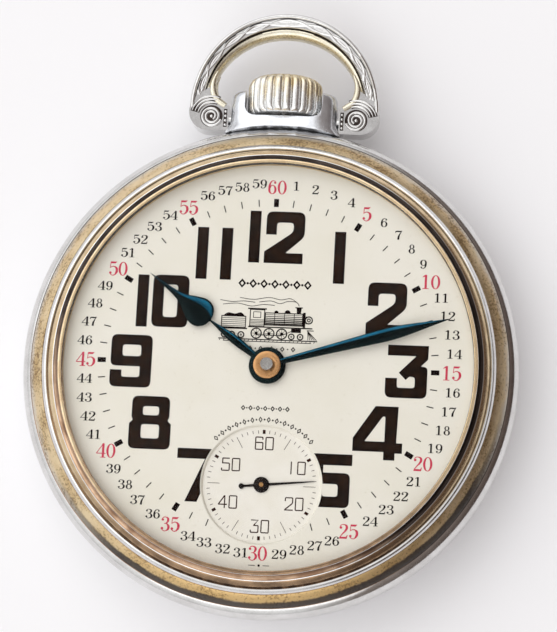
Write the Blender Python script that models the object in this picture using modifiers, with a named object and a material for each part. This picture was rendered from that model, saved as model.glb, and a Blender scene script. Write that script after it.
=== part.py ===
"""Open face pocket watch, 19 lignes, with a stem-wound lever movement.

The watch lies on its back: +Z comes out of the dial, +Y points to the 12.
The origin is the centre of the flat rest face of the case back.
Everything is drawn in millimetres and scaled to metres as each part is finished.
"""
from math import atan2, cos, degrees, hypot, pi, radians, sin

import bmesh
import bpy
from mathutils import Matrix, Vector

MM = 0.001
WELD = 0.0005
FINE_TEETH = 26

# Case
CASE_R = 25.45
STEM_Z = 4.7
DIAL_BOTTOM, DIAL_TOP = 8.2, 8.6
CRYSTAL_TOP = 12.0
CASE_STEPS = 48

# Pendant, crown and bow
PENDANT_HALF_W, PENDANT_HALF_T = 5.6, 2.9
SLOT_HALF_W, SLOT_Y, EAR_Y = 4.02, 26.6, 29.4
CROWN_R, CROWN_Y0, CROWN_Y1, CROWN_FLUTES = 3.9, 26.9, 31.15, 24
BOW_Y = 26.6
BOW_TOP, BOW_INNER_TOP = 38.1, 35.5
BOW_HALF_T = 1.4
BOW_PIN_R = 0.5
STEM_R, SLEEVE_R = 0.55, 1.2

# Heights of the movement, from the back cover to the dial
WINDING_WHEELS = (1.95, 2.4)
BRIDGE = (2.5, 3.2)
COCK = (1.9, 2.5)
CENTRE_WHEEL = (3.3, 3.5)
PLATE = (5.9, 7.3)
MOTION_LOW = (7.35, 7.55)
MOTION_HIGH = (7.75, 7.95)
SECONDS_HAND = (8.4, 8.55)
HOUR_HAND = (9.0, 9.2)
MINUTE_HAND = (9.35, 9.5)
HANDS_TOP = 10.2

# Places of the arbors, seen from the dial
CENTRE = (0.0, 0.0)
FOURTH = (0.0, -12.1)
BARREL = (4.51, 7.81)
THIRD = (-2.77, -6.645)
ESCAPE = (5.3, -14.4)
PALLET = (7.98, -11.85)
BALANCE = (11.5, -8.5)
CROWN_WHEEL = (0.0, 15.25)
MINUTE_WHEEL = (0.0, 4.0)
SETTING_WHEEL = (0.0, 10.5)
CLICK = (11.9, 11.3)
SETTING_LEVER = (-6.2, 15.2)
YOKE = (6.4, 14.6)

PIVOT_R, PIVOT_LOW, PIVOT_HIGH = 0.2, 2.6, 6.6
BARREL_TEETH, BARREL_MODULE = 56, 0.2818
MOTION_MODULE = 0.25
PLATE_R, BRIDGE_R, FOOT_RING_R = 21.4, 20.5, 18.9
BARREL_FEET = ((20, 1.3), (72, 1.1), (120, 1.3), (165, 1.3))
TRAIN_FEET = ((190, 1.3), (260, 1.3), (295, 0.7))
DIAL_FEET = (35, 155, 285)
COCK_FOOT = (17.0, -0.6)

# Time on the hands, in degrees clockwise from the 12
MINUTE_ANGLE, HOUR_ANGLE, SECOND_ANGLE = 73.4, 306.1, 84.0

FINISHES = {
    "chrome": ((0.78, 0.78, 0.77), 1.0, 0.16),
    "worn_brass": ((0.72, 0.58, 0.38), 1.0, 0.30),
    "nickel": ((0.70, 0.69, 0.65), 1.0, 0.28),
    "brass": ((0.78, 0.60, 0.30), 1.0, 0.25),
    "steel": ((0.55, 0.56, 0.58), 1.0, 0.22),
    "blued": ((0.02, 0.07, 0.12), 0.8, 0.20),
    "enamel": ((0.84, 0.80, 0.69), 0.0, 0.22),
    "ruby": ((0.55, 0.02, 0.10), 0.0, 0.10),
    "glass": ((0.95, 0.97, 0.98), 0.0, 0.03),
}


# ---------------------------------------------------------------- helpers

def clear_scene():
    for obj in list(bpy.data.objects):
        bpy.data.objects.remove(obj, do_unlink=True)


def temporary(data):
    obj = bpy.data.objects.new("work", data)
    bpy.context.scene.collection.objects.link(obj)
    return obj


def evaluated(obj):
    """Mesh object with the modifiers of obj applied; obj is removed."""
    bpy.context.view_layer.update()
    graph = bpy.context.evaluated_depsgraph_get()
    mesh = bpy.data.meshes.new_from_object(obj.evaluated_get(graph))
    result = temporary(mesh)
    result.matrix_world = obj.matrix_world.copy()
    bpy.data.objects.remove(obj, do_unlink=True)
    return result


def tidy_mesh(obj):
    """Weld coincident points and turn every face outwards."""
    bm = bmesh.new()
    bm.from_mesh(obj.data)
    bmesh.ops.remove_doubles(bm, verts=bm.verts, dist=WELD)
    bmesh.ops.recalc_face_normals(bm, faces=bm.faces)
    bm.to_mesh(obj.data)
    bm.free()
    return obj


def circle(radius, count=24, centre=(0.0, 0.0), phase=0.0):
    turn = 2 * pi / count
    return [(centre[0] + radius * cos(phase + turn * k),
             centre[1] + radius * sin(phase + turn * k)) for k in range(count)]


def arc(radius, start, end, count, centre=(0.0, 0.0)):
    """Points from start to end, in degrees anticlockwise from +X."""
    step = (end - start) / (count - 1)
    return [(centre[0] + radius * cos(radians(start + step * k)),
             centre[1] + radius * sin(radians(start + step * k))) for k in range(count)]


def mirrored(points):
    """Close an outline that is symmetric about the X axis, given its upper half."""
    return points + [(x, -y) for x, y in reversed(points) if abs(y) > 1e-6]


def polar(radius, angle):
    return (radius * cos(radians(angle)), radius * sin(radians(angle)))


def flat(outline, levels, holes=(), at=(0.0, 0.0), turn=0.0):
    """Plate cut from a flat outline, between two heights."""
    low, high = levels
    curve = bpy.data.curves.new("outline", "CURVE")
    curve.dimensions = "2D"
    curve.fill_mode = "BOTH"
    curve.extrude = (high - low) / 2
    for loop in (outline, *holes):
        spline = curve.splines.new("POLY")
        spline.points.add(len(loop) - 1)
        for point, (x, y) in zip(spline.points, loop):
            point.co = (x, y, 0.0, 1.0)
        spline.use_cyclic_u = True
    obj = evaluated(temporary(curve))
    place = Matrix.Translation((at[0], at[1], (low + high) / 2)) @ Matrix.Rotation(turn, 4, "Z")
    obj.data.transform(place)
    return tidy_mesh(obj)


def turned(profile, steps=24, closed=False, at=(0.0, 0.0)):
    """Body of revolution about a vertical axis, from (radius, height) points."""
    mesh = bpy.data.meshes.new("profile")
    edges = [(k, k + 1) for k in range(len(profile) - 1)]
    if closed:
        edges.append((len(profile) - 1, 0))
    mesh.from_pydata([(r, 0.0, z) for r, z in profile], edges, [])
    obj = temporary(mesh)
    screw = obj.modifiers.new("turn", "SCREW")
    screw.axis = "Z"
    screw.steps = screw.render_steps = steps
    screw.use_merge_vertices = True
    screw.merge_threshold = 0.0001
    obj = evaluated(obj)
    obj.data.transform(Matrix.Translation((at[0], at[1], 0.0)))
    return tidy_mesh(obj)


def rod(radius, levels, steps=16, at=(0.0, 0.0)):
    low, high = levels
    return turned([(0, high), (radius, high), (radius, low), (0, low)], steps, at=at)


def tube(outer, inner, levels, steps=24, at=(0.0, 0.0)):
    low, high = levels
    return turned([(inner, high), (outer, high), (outer, low), (inner, low)], steps, True, at)


def along_y(obj, height=STEM_Z):
    """Turn a part drawn about Z so that its axis runs along +Y at the stem's height."""
    obj.data.transform(Matrix.Translation((0, 0, height)) @ Matrix.Rotation(-pi / 2, 4, "X"))
    return obj


def along_x(obj, y, z):
    obj.data.transform(Matrix.Translation((0, y, z)) @ Matrix.Rotation(pi / 2, 4, "Y"))
    return obj


def combine(base, others, operation):
    for other in others:
        boolean = base.modifiers.new("combine", "BOOLEAN")
        boolean.operation = operation
        boolean.solver = "EXACT"
        boolean.object = other
    result = evaluated(base)
    for other in others:
        bpy.data.objects.remove(other, do_unlink=True)
    return tidy_mesh(result)


def union(base, *others):
    return combine(base, others, "UNION")


def cut(base, *others):
    return combine(base, others, "DIFFERENCE")


def rounded(obj, width, segments, angle):
    bevel = obj.modifiers.new("round", "BEVEL")
    bevel.width = width
    bevel.segments = segments
    bevel.limit_method = "ANGLE"
    bevel.angle_limit = radians(angle)
    bevel.use_clamp_overlap = True
    return tidy_mesh(evaluated(obj))


def finish(name, obj, look, pivot=(0.0, 0.0, 0.0)):
    """Scale a drawn part to metres, with its origin on its axis, and give it its material."""
    mesh = obj.data
    mesh.transform(Matrix.Scale(MM, 4) @ Matrix.Translation(-Vector(pivot)))
    mesh.name = name
    mesh.shade_smooth()
    mesh.set_sharp_from_angle(angle=radians(32))
    part = bpy.data.objects.new(name, mesh)
    part.location = Vector(pivot) * MM
    colour, metallic, roughness = FINISHES[look]
    material = bpy.data.materials.new(name + "_" + look)
    material.use_nodes = True
    shader = material.node_tree.nodes["Principled BSDF"]
    shader.inputs["Base Color"].default_value = (*colour, 1.0)
    shader.inputs["Metallic"].default_value = metallic
    shader.inputs["Roughness"].default_value = roughness
    if look == "glass":
        shader.inputs["Transmission Weight"].default_value = 1.0
    mesh.materials.clear()
    mesh.materials.append(material)
    WATCH.objects.link(part)
    bpy.data.objects.remove(obj, do_unlink=True)
    return part


# ------------------------------------------------------------------ gears

def bearing(start, end):
    """Direction from one arbor to another, in degrees."""
    return degrees(atan2(end[1] - start[1], end[0] - start[0]))


def gear_outline(teeth, module, towards, gap=False):
    """Wheel or pinion outline with a tooth, or a gap, on the line of centres.

    The fine teeth of the large wheels come to a point; coarser ones have a flat tip.
    """
    pitch = 360 / teeth
    first = towards + (pitch / 2 if gap else 0)
    tip = module * (teeth / 2 + 0.8)
    root = module * (teeth / 2 - 1.15)
    tip_edges = (0.0,) if teeth > FINE_TEETH else (-0.09, 0.09)
    points = []
    for k in range(teeth):
        middle = first + k * pitch
        points.append(polar(root, middle - 0.5 * pitch))
        points += [polar(tip, middle + edge * pitch) for edge in tip_edges]
    return points


def spoke_windows(count, inner, outer, width, turn=0.0):
    """Openings between the spokes of a wheel."""
    windows = []
    steps = round(20 / count)
    for k in range(count):
        start, end = turn + 360 / count * k, turn + 360 / count * (k + 1)
        lean_out = degrees(width / 2 / outer)
        lean_in = degrees(width / 2 / inner)
        windows.append(arc(outer, start + lean_out, end - lean_out, steps)
                       + arc(inner, end - lean_in, start + lean_in, 2))
    return windows


def mesh_module(start, end, teeth):
    """Module at which two wheels with this many teeth in all mesh between two arbors."""
    return 2 * hypot(end[0] - start[0], end[1] - start[1]) / teeth


def train_wheel(at, wheel, pinion, shaft, spokes=4):
    """Wheel, pinion and arbor in one piece.

    wheel and pinion are (teeth, module, towards, gap, levels); shaft is (radius, low, high).
    """
    teeth, module, towards, gap, levels = wheel
    root = module * (teeth / 2 - 1.15)
    windows = spoke_windows(spokes, 0.28 * root, 0.86 * root, 0.10 * root)
    body = flat(gear_outline(teeth, module, towards, gap), levels, windows, at)
    teeth, module, towards, gap, levels = pinion
    leaves = flat(gear_outline(teeth, module, towards, gap), levels, (), at)
    radius, low, high = shaft
    return union(body, leaves, rod(radius, (low, high), 10, at))


# ------------------------------------------------------------------- case

def make_case_middle():
    profile = [(22.2, 7.9), (23.3, 7.9), (23.3, 6.05), (24.8, 6.05), (25.3, 5.5), (CASE_R, STEM_Z),
               (25.2, 3.5), (24.4, 2.35), (23.35, 2.35), (23.35, 3.35), (21.0, 3.35), (21.0, 5.8),
               (22.2, 5.8)]
    ring = turned(profile, CASE_STEPS, True)
    bore = along_y(rod(SLEEVE_R + 0.05, (20.0, 27.0), 16))
    finish("case_middle", cut(ring, bore), "chrome")


def make_case_back():
    profile = [(0, 0.7), (13, 0.7), (19, 1.3), (22.5, 2.0), (22.5, 3.2), (23.2, 3.2), (23.2, 2.3),
               (24.55, 2.3), (23.6, 1.6), (20.5, 0.8), (16.5, 0.25), (12.0, 0), (0, 0)]
    finish("case_back", turned(profile, CASE_STEPS), "chrome")


def make_bezel():
    profile = [(20.95, 10.0), (21.6, 9.95), (22.2, 9.45), (23.1, 9.6), (24.7, 8.65), (25.3, 7.7),
               (CASE_R, 6.15), (23.4, 6.15), (23.4, 8.0), (22.3, 8.0), (22.3, 8.75), (20.9, 8.75),
               (20.9, 9.25), (21.3, 9.25), (21.3, 9.85), (20.95, 9.85)]
    finish("bezel", turned(profile, CASE_STEPS, True), "worn_brass")


def make_crystal():
    inside, outside = 20.0, 20.85
    rings = 3
    dome_in = [(inside * k / rings, 11.1 - 1.4 * (k / rings) ** 2) for k in range(rings + 1)]
    dome_out = [(outside * k / rings, CRYSTAL_TOP - 1.95 * (k / rings) ** 2)
                for k in range(rings, -1, -1)]
    edge = [(inside, 9.35), (21.25, 9.35), (21.25, 9.72), (outside, 9.8)]
    finish("crystal", turned(dome_in + edge + dome_out, CASE_STEPS), "glass")


def make_pendant():
    corner = 1.1
    left = [(-SLOT_HALF_W, EAR_Y)]
    left += arc(corner, 180, 270, 5, (-SLOT_HALF_W + corner, SLOT_Y + corner))
    slot = left + [(-x, y) for x, y in reversed(left)]
    ear = arc(0.8, 0, 90, 4, (PENDANT_HALF_W - 0.8, EAR_Y - 0.8))
    outline = slot + list(reversed(ear)) + [(PENDANT_HALF_W, 23.0), (-PENDANT_HALF_W, 23.0)]
    outline += [(-x, y) for x, y in ear]
    body = flat(outline, (STEM_Z - PENDANT_HALF_T, STEM_Z + PENDANT_HALF_T))
    body = rounded(body, 0.35, 1, 50)
    saddle = rod(CASE_R + 0.06, (0, 10), 80)
    bore = along_y(rod(SLEEVE_R + 0.05, (22.0, 28.0), 16))
    pivot = along_x(rod(BOW_PIN_R + 0.04, (-7, 7), 16), BOW_Y, STEM_Z)
    finish("pendant", cut(body, saddle, bore, pivot), "worn_brass")


def make_pendant_sleeve():
    finish("pendant_sleeve", along_y(tube(SLEEVE_R, STEM_R + 0.12, (22.4, 26.5), 16)), "steel")


def bow_outline():
    """Right half runs down the outside, round the foot and back up the inside."""
    outer_y, inner_y = 27.6, 28.3
    half = [(9.95 * x, outer_y + (BOW_TOP - outer_y) * y) for x, y in arc(1.0, 90, -3, 13)]
    half += arc(2.03, -15, -90, 5, (7.9, 27.25))
    half += [(5.78, 25.22), (5.78, 27.9), (7.0, 27.95)]
    half += [(7.75 * x, inner_y + (BOW_INNER_TOP - inner_y) * y) for x, y in arc(1.0, 14, 90, 10)]
    return half


def make_bow():
    half = bow_outline()
    edge = [p for p in half if p[0] > 1e-4]
    outline = [(0.0, BOW_TOP)] + edge + [(0.0, BOW_INNER_TOP)] + [(-x, y) for x, y in reversed(edge)]
    body = flat(outline, (STEM_Z - BOW_HALF_T, STEM_Z + BOW_HALF_T))
    body = rounded(body, 0.45, 1, 60)
    for side in (-1, 1):
        reach = sorted((5.0 * side, 7.2 * side))
        body = cut(body, along_x(rod(BOW_PIN_R + 0.05, reach, 16), BOW_Y, STEM_Z))
    finish("bow", body, "worn_brass", (0, BOW_Y, STEM_Z))


def make_bow_pins():
    for side, name in ((-1, "bow_pin_left"), (1, "bow_pin_right")):
        reach = sorted((4.2 * side, 7.1 * side))
        finish(name, along_x(rod(BOW_PIN_R, reach, 16), BOW_Y, STEM_Z), "steel")


def make_crown():
    flute = 360 / CROWN_FLUTES
    valley, clear_of_flutes = CROWN_R - 0.3, CROWN_R + 0.24
    outline = []
    for k in range(CROWN_FLUTES):
        outline += [polar(valley, k * flute), polar(CROWN_R, (k + 0.3) * flute),
                    polar(CROWN_R, (k + 0.7) * flute)]
    body = flat(outline, (CROWN_Y0, CROWN_Y1))
    ends = turned([(0, CROWN_Y1), (3.1, CROWN_Y1), (clear_of_flutes, CROWN_Y1 - 0.7),
                   (clear_of_flutes, CROWN_Y0 + 0.6), (3.4, CROWN_Y0), (0, CROWN_Y0)], 20)
    body = combine(body, [ends], "INTERSECT")
    socket = rod(STEM_R + 0.05, (CROWN_Y0 - 1, 29.1), 10)
    finish("crown", along_y(cut(body, socket)), "nickel", (0, CROWN_Y0, STEM_Z))


def make_stem():
    pilot_r = 0.35
    stem = turned([(0, 29.0), (STEM_R, 29.0), (STEM_R, 15.4), (pilot_r, 15.2), (pilot_r, 14.7),
                   (0, 14.7)], 12)
    finish("stem", along_y(stem), "steel", (0, CROWN_Y0, STEM_Z))


# --------------------------------------------------- plates and bridges

def make_main_plate():
    holes = [circle(1.0, 12), [(-2.4, 18.0), (2.4, 18.0), (2.4, 20.6), (-2.4, 20.6)]]
    holes += [circle(0.4, 8, FOURTH), circle(0.95, 12, BARREL), circle(0.5, 8, SETTING_WHEEL)]
    holes += [circle(0.32, 6, at) for at in (THIRD, ESCAPE, PALLET, BALANCE, MINUTE_WHEEL)]
    holes += [circle(0.5, 6, polar(FOOT_RING_R, angle)) for angle in DIAL_FEET]
    holes += [circle(0.55, 8, at) for at in (SETTING_LEVER, YOKE)]
    finish("main_plate", flat(circle(PLATE_R, CASE_STEPS), PLATE, holes), "nickel")


def foot(at, radius):
    return rod(radius, (BRIDGE[0] + 0.3, PLATE[0] - 0.05), 10, at)


def make_barrel_bridge():
    rim_left = arc(BRIDGE_R, 176, 97, 12)
    rim_right = arc(BRIDGE_R, 83, 10, 11)
    outline = rim_left + [(-2.5, 18.1), (2.5, 18.1)] + rim_right
    outline += [(13.2, 3.1), (4.2, -1.7), (-3.0, -1.7)]
    holes = [circle(0.65, 12), circle(0.95, 14, BARREL), circle(0.75, 12, CROWN_WHEEL),
             circle(0.45, 10, CLICK)]
    plate = flat(outline, BRIDGE, holes)
    feet = [foot(polar(FOOT_RING_R, angle), radius) for angle, radius in BARREL_FEET]
    plate = union(plate, *feet)
    finish("barrel_bridge", cut(plate, *screw_holes(BARREL_SCREWS)), "nickel")


def make_train_bridge():
    outline = [(-3.0, -2.1), (3.2, -2.1)] + arc(6.6, 150, 258, 8, BALANCE)
    outline += arc(BRIDGE_R, -60, -183, 16)
    holes = [circle(0.65, 12, at) for at in (THIRD, FOURTH, ESCAPE)]
    plate = flat(outline, BRIDGE, holes)
    feet = [foot(polar(FOOT_RING_R, angle), radius) for angle, radius in TRAIN_FEET]
    plate = union(plate, *feet)
    finish("train_bridge", cut(plate, *screw_holes(TRAIN_SCREWS)), "nickel")


def link_outline(start, end, start_r, end_r, count=7):
    """Outline of an arm with two round ends."""
    heading = bearing(start, end)
    return (arc(start_r, heading + 90, heading + 270, count, start)
            + arc(end_r, heading - 90, heading + 90, count, end))


def make_balance_cock():
    arm = flat(link_outline(COCK_FOOT, BALANCE, 2.2, 1.9), COCK, [circle(0.65, 12, BALANCE)])
    column = rod(2.0, (COCK[0] + 0.2, PLATE[0] - 0.05), 16, COCK_FOOT)
    finish("balance_cock", cut(union(arm, column), *screw_holes(COCK_SCREWS)), "nickel")


def make_pallet_bridge():
    base = (10.74, -14.75)
    levels = (4.1, 4.4)
    arm = flat(link_outline(base, PALLET, 1.0, 0.75, 6), levels, [circle(0.25, 8, PALLET)])
    column = rod(0.9, (4.2, PLATE[0] - 0.05), 12, base)
    finish("pallet_bridge", union(arm, column), "nickel")


# Screws of the bridges: centre, head radius and level of the seat
BARREL_SCREWS = [(polar(FOOT_RING_R, angle), 0.95, BRIDGE[0]) for angle in (20, 120)]
TRAIN_SCREWS = [(polar(FOOT_RING_R, angle), 0.95, BRIDGE[0]) for angle in (190, 260)]
COCK_SCREWS = [(COCK_FOOT, 1.1, COCK[0])]
SCREW_R, SCREW_DEPTH = 0.4, 1.6


def screw_holes(screws):
    return [rod(SCREW_R + 0.06, (seat - 0.5, seat + SCREW_DEPTH + 0.1), 8, at)
            for at, _, seat in screws]


def screw(at, head_r, seat, shank_r=SCREW_R, depth=SCREW_DEPTH, turn=35.0):
    """Slotted cheese head resting on the back of a bridge, with its shank."""
    under = seat - 0.04
    top = under - 0.38
    body = turned([(0, seat + depth), (shank_r, seat + depth), (shank_r, under), (head_r, under),
                   (head_r, top), (0, top)], 12, at=at)
    reach, half_w = head_r * 1.2, 0.09
    slot = [(reach, half_w), (-reach, half_w), (-reach, -half_w), (reach, -half_w)]
    return cut(body, flat(slot, (top - 0.2, top + 0.16), (), at, radians(turn)))


def make_screws():
    groups = (("barrel_bridge_screw", BARREL_SCREWS), ("train_bridge_screw", TRAIN_SCREWS),
              ("cock_screw", COCK_SCREWS))
    for name, screws in groups:
        for number, (at, head_r, seat) in enumerate(screws, 1):
            label = name if len(screws) == 1 else f"{name}_{number}"
            finish(label, screw(at, head_r, seat), "blued")
    low = WINDING_WHEELS[0]
    finish("crown_wheel_screw", screw(CROWN_WHEEL, 1.5, low, 0.65, 1.1), "steel")
    finish("ratchet_screw", rod(1.0, (low - 0.4, low - 0.05), 16, BARREL), "steel",
           (*BARREL, 0))
    finish("click_screw", screw(CLICK, 0.8, low, 0.35, 1.1), "blued")


def make_jewels():
    places = (("jewel_centre", CENTRE), ("jewel_third", THIRD), ("jewel_fourth", FOURTH),
              ("jewel_escape", ESCAPE))
    for name, at in places:
        finish(name, tube(0.6, 0.25, (BRIDGE[0] + 0.05, BRIDGE[1] - 0.15), 10, at), "ruby")
    back, seat, front = COCK[0] + 0.05, COCK[0] + 0.3, COCK[1] - 0.02
    cup = turned([(0, back), (0.6, back), (0.6, front), (0.2, front), (0.2, seat), (0, seat)], 10,
                 at=BALANCE)
    finish("balance_jewel", cup, "ruby")


# -------------------------------------------------------- winding works

def make_winding_works():
    pinion = flat(gear_outline(16, 0.25, 0.0), (18.4, 20.2), [circle(STEM_R + 0.05, 12)])
    finish("winding_pinion", along_y(pinion), "steel", (0, 18.4, STEM_Z))
    clutch = tube(1.2, STEM_R + 0.05, (15.9, 18.0), 16)
    groove = tube(1.5, 0.95, (16.6, 17.1), 16)
    finish("clutch_wheel", along_y(cut(clutch, groove)), "steel", (0, 15.9, STEM_Z))
    outline = gear_outline(24, 0.3, bearing(CROWN_WHEEL, BARREL), True)
    wheel = flat(outline, WINDING_WHEELS, [circle(0.75, 12)], CROWN_WHEEL)
    finish("crown_wheel", wheel, "steel", (*CROWN_WHEEL, 0))
    outline = gear_outline(34, 0.3, bearing(BARREL, CROWN_WHEEL))
    finish("ratchet_wheel", flat(outline, WINDING_WHEELS, (), BARREL), "steel", (*BARREL, 0))


def make_click():
    """Pawl beside the ratchet wheel, with its spring."""
    levels = (WINDING_WHEELS[0] + 0.03, WINDING_WHEELS[1])
    out = bearing(BARREL, CLICK)
    nose = (BARREL[0] + 5.62 * cos(radians(out + 13)), BARREL[1] + 5.62 * sin(radians(out + 13)))
    outline = arc(1.05, out - 140, out + 60, 9, CLICK) + [nose]
    finish("click", flat(outline, levels, [circle(0.4, 10, CLICK)]), "steel", (*CLICK, 0))
    inner = arc(15.9, 24, 36, 6)
    outer = arc(16.25, 36, 24, 6)
    finish("click_spring", flat(inner + outer, levels), "blued")


def make_setting_works():
    outline = gear_outline(28, MOTION_MODULE, bearing(SETTING_WHEEL, MINUTE_WHEEL), True)
    wheel = flat(outline, MOTION_LOW, (), SETTING_WHEEL)
    wheel = union(wheel, rod(0.4, (6.6, 7.8), 10, SETTING_WHEEL))
    finish("setting_wheel", wheel, "steel", (*SETTING_WHEEL, 0))
    lever = flat(link_outline(SETTING_LEVER, (-2.2, 16.4), 1.1, 0.5, 6), MOTION_LOW)
    lever = union(lever, rod(0.45, (6.6, 7.8), 10, SETTING_LEVER))
    finish("setting_lever", lever, "steel", (*SETTING_LEVER, 0))
    yoke = flat(link_outline(YOKE, (1.9, 15.4), 0.9, 0.4, 6), MOTION_LOW)
    yoke = union(yoke, rod(0.45, (6.6, 7.8), 10, YOKE))
    finish("yoke", yoke, "steel", (*YOKE, 0))


# ------------------------------------------------------ power and train

def spiral_band(inner, outer, turns, width, per_turn):
    """Closed outline of a flat spiral spring."""
    count = round(turns * per_turn) + 1
    edges = ([], [])
    for k in range(count):
        share = k / (count - 1)
        radius = inner + (outer - inner) * share
        for edge, offset in zip(edges, (width / 2, -width / 2)):
            edge.append(polar(radius + offset, 360 * turns * share))
    return edges[0] + edges[1][::-1]


def make_barrel():
    to_centre = bearing(BARREL, CENTRE)
    outline = gear_outline(BARREL_TEETH, BARREL_MODULE, to_centre)
    teeth = flat(outline, (5.2, 5.6), [circle(7.0, 32)], BARREL)
    drum = turned([(6.7, 5.6), (7.3, 5.6), (7.3, 3.65), (1.0, 3.65), (1.0, 3.85), (6.7, 3.85)],
                  32, True, BARREL)
    finish("mainspring_barrel", union(teeth, drum), "brass", (*BARREL, 0))
    finish("barrel_cover", tube(6.62, 1.0, (5.38, 5.58), 32, BARREL), "brass", (*BARREL, 0))
    arbor = turned([(0, 6.9), (0.85, 6.9), (0.85, 5.3), (1.6, 5.3), (1.6, 3.95), (0.85, 3.95),
                    (0.85, 2.45), (0, 2.45)], 16, at=BARREL)
    finish("barrel_arbor", arbor, "steel", (*BARREL, 0))
    spring = flat(spiral_band(1.85, 6.4, 5, 0.25, 12), (3.95, 5.3), (), BARREL)
    finish("mainspring", spring, "steel", (*BARREL, 0))


def make_train():
    first_mesh = mesh_module(CENTRE, THIRD, 48 + 6)
    second_mesh = mesh_module(THIRD, FOURTH, 45 + 6)
    third_mesh = mesh_module(FOURTH, ESCAPE, 60 + 6)
    wheel = (48, first_mesh, bearing(CENTRE, THIRD), False, CENTRE_WHEEL)
    pinion = (8, BARREL_MODULE, bearing(CENTRE, BARREL), True, (5.1, 5.7))
    centre = train_wheel(CENTRE, wheel, pinion, (0.5, 3.22, 7.3))
    finish("centre_wheel", union(centre, rod(PIVOT_R, (PIVOT_LOW, 3.4), 8)), "brass")
    wheel = (45, second_mesh, bearing(THIRD, FOURTH), False, (4.3, 4.55))
    pinion = (6, first_mesh, bearing(THIRD, CENTRE), True, (3.25, 3.6))
    third = train_wheel(THIRD, wheel, pinion, (PIVOT_R, PIVOT_LOW, PIVOT_HIGH))
    finish("third_wheel", third, "brass", (*THIRD, 0))
    wheel = (60, third_mesh, bearing(FOURTH, ESCAPE), False, (5.2, 5.45))
    pinion = (6, second_mesh, bearing(FOURTH, THIRD), True, (4.2, 4.65))
    fourth = train_wheel(FOURTH, wheel, pinion, (PIVOT_R, PIVOT_LOW, 8.6))
    finish("fourth_wheel", fourth, "brass", (*FOURTH, 0))


def make_escapement():
    count, tip, root = 15, 3.0, 2.35
    pitch = 360 / count
    outline = []
    levels = (4.6, 4.85)
    for k in range(count):
        outline += [polar(root, k * pitch), polar(tip, (k + 0.5) * pitch),
                    polar(tip, (k + 0.66) * pitch)]
    wheel = flat(outline, levels, spoke_windows(4, 0.6, 1.95, 0.4), ESCAPE)
    module = mesh_module(FOURTH, ESCAPE, 60 + 6)
    leaves = flat(gear_outline(6, module, bearing(ESCAPE, FOURTH), True), (5.1, 5.55), (), ESCAPE)
    wheel = union(wheel, leaves, rod(PIVOT_R, (PIVOT_LOW, PIVOT_HIGH), 10, ESCAPE))
    finish("escape_wheel", wheel, "steel", (*ESCAPE, 0))
    half = [(-0.45, 0.0), (-0.6, 0.7), (-0.78, 1.35), (-1.0, 1.8), (-0.72, 2.3), (-0.2, 1.9),
            (0.15, 0.7), (0.5, 0.28), (3.2, 0.17), (3.45, 0.36), (3.85, 0.42), (3.8, 0.16),
            (3.55, 0.12)]
    fork = flat(mirrored(half), levels, (), PALLET, radians(bearing(ESCAPE, PALLET)))
    fork = union(fork, rod(PIVOT_R, (4.15, PIVOT_HIGH), 10, PALLET))
    finish("pallet_fork", fork, "steel", (*PALLET, 0))


def make_balance():
    rim_out, rim_in, screw_reach = 5.5, 4.95, 5.85
    windows = spoke_windows(2, 0.75, rim_in, 0.7, 30)
    wheel = flat(circle(rim_out, 32), (3.5, 3.95), windows, BALANCE)
    staff = turned([(0, PIVOT_HIGH), (PIVOT_R, PIVOT_HIGH), (PIVOT_R, 5.6), (0.35, 5.5), (0.35, 4.4),
                    (1.0, 4.4), (1.0, 4.2), (0.35, 4.2), (0.35, 2.75), (0.15, 2.65), (0.15, 2.22),
                    (0, 2.22)], 8, at=BALANCE)
    parts = [staff]
    count = 10
    for k in range(count):
        pin = rod(0.2, (rim_out - 0.2, screw_reach), 5)
        heading = Matrix.Rotation(2 * pi * (k + 0.5) / count, 4, "Z")
        lying = heading @ Matrix.Rotation(pi / 2, 4, "Y")
        pin.data.transform(Matrix.Translation((*BALANCE, 3.725)) @ lying)
        parts.append(pin)
    finish("balance_wheel", union(wheel, *parts), "brass", (*BALANCE, 0))
    spring = flat(spiral_band(0.6, 3.3, 5, 0.1, 12), (2.85, 3.05), (), BALANCE)
    finish("hairspring", spring, "blued", (*BALANCE, 0))


def make_regulator():
    pointer = (BALANCE[0] - 3.4, BALANCE[1] + 3.6)
    outline = link_outline(BALANCE, pointer, 1.1, 0.15, 7)
    finish("regulator", flat(outline, (1.6, 1.85)), "steel", (*BALANCE, 0))


# ------------------------------------------------ motion work and hands

def make_motion_work():
    up = bearing(CENTRE, MINUTE_WHEEL)
    cannon = flat(gear_outline(8, MOTION_MODULE, up, True), (7.36, 7.6))
    cannon = union(cannon, rod(0.65, (7.36, HANDS_TOP), 12))
    finish("cannon_pinion", cannon, "brass")
    minute = flat(gear_outline(24, MOTION_MODULE, -up), MOTION_LOW, (), MINUTE_WHEEL)
    hour_module = mesh_module(CENTRE, MINUTE_WHEEL, 30)
    outline = gear_outline(6, hour_module, -up, True)
    leaves = flat(outline, (MOTION_LOW[0] + 0.1, 8.05), (), MINUTE_WHEEL)
    minute = union(minute, leaves, rod(PIVOT_R, (PIVOT_HIGH, 8.1), 8, MINUTE_WHEEL))
    finish("minute_wheel", minute, "brass", (*MINUTE_WHEEL, 0))
    hour = flat(gear_outline(24, hour_module, up), MOTION_HIGH, [circle(0.75, 12)])
    finish("hour_wheel", union(hour, tube(1.1, 0.75, (7.8, 8.95), 12)), "brass")


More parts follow.
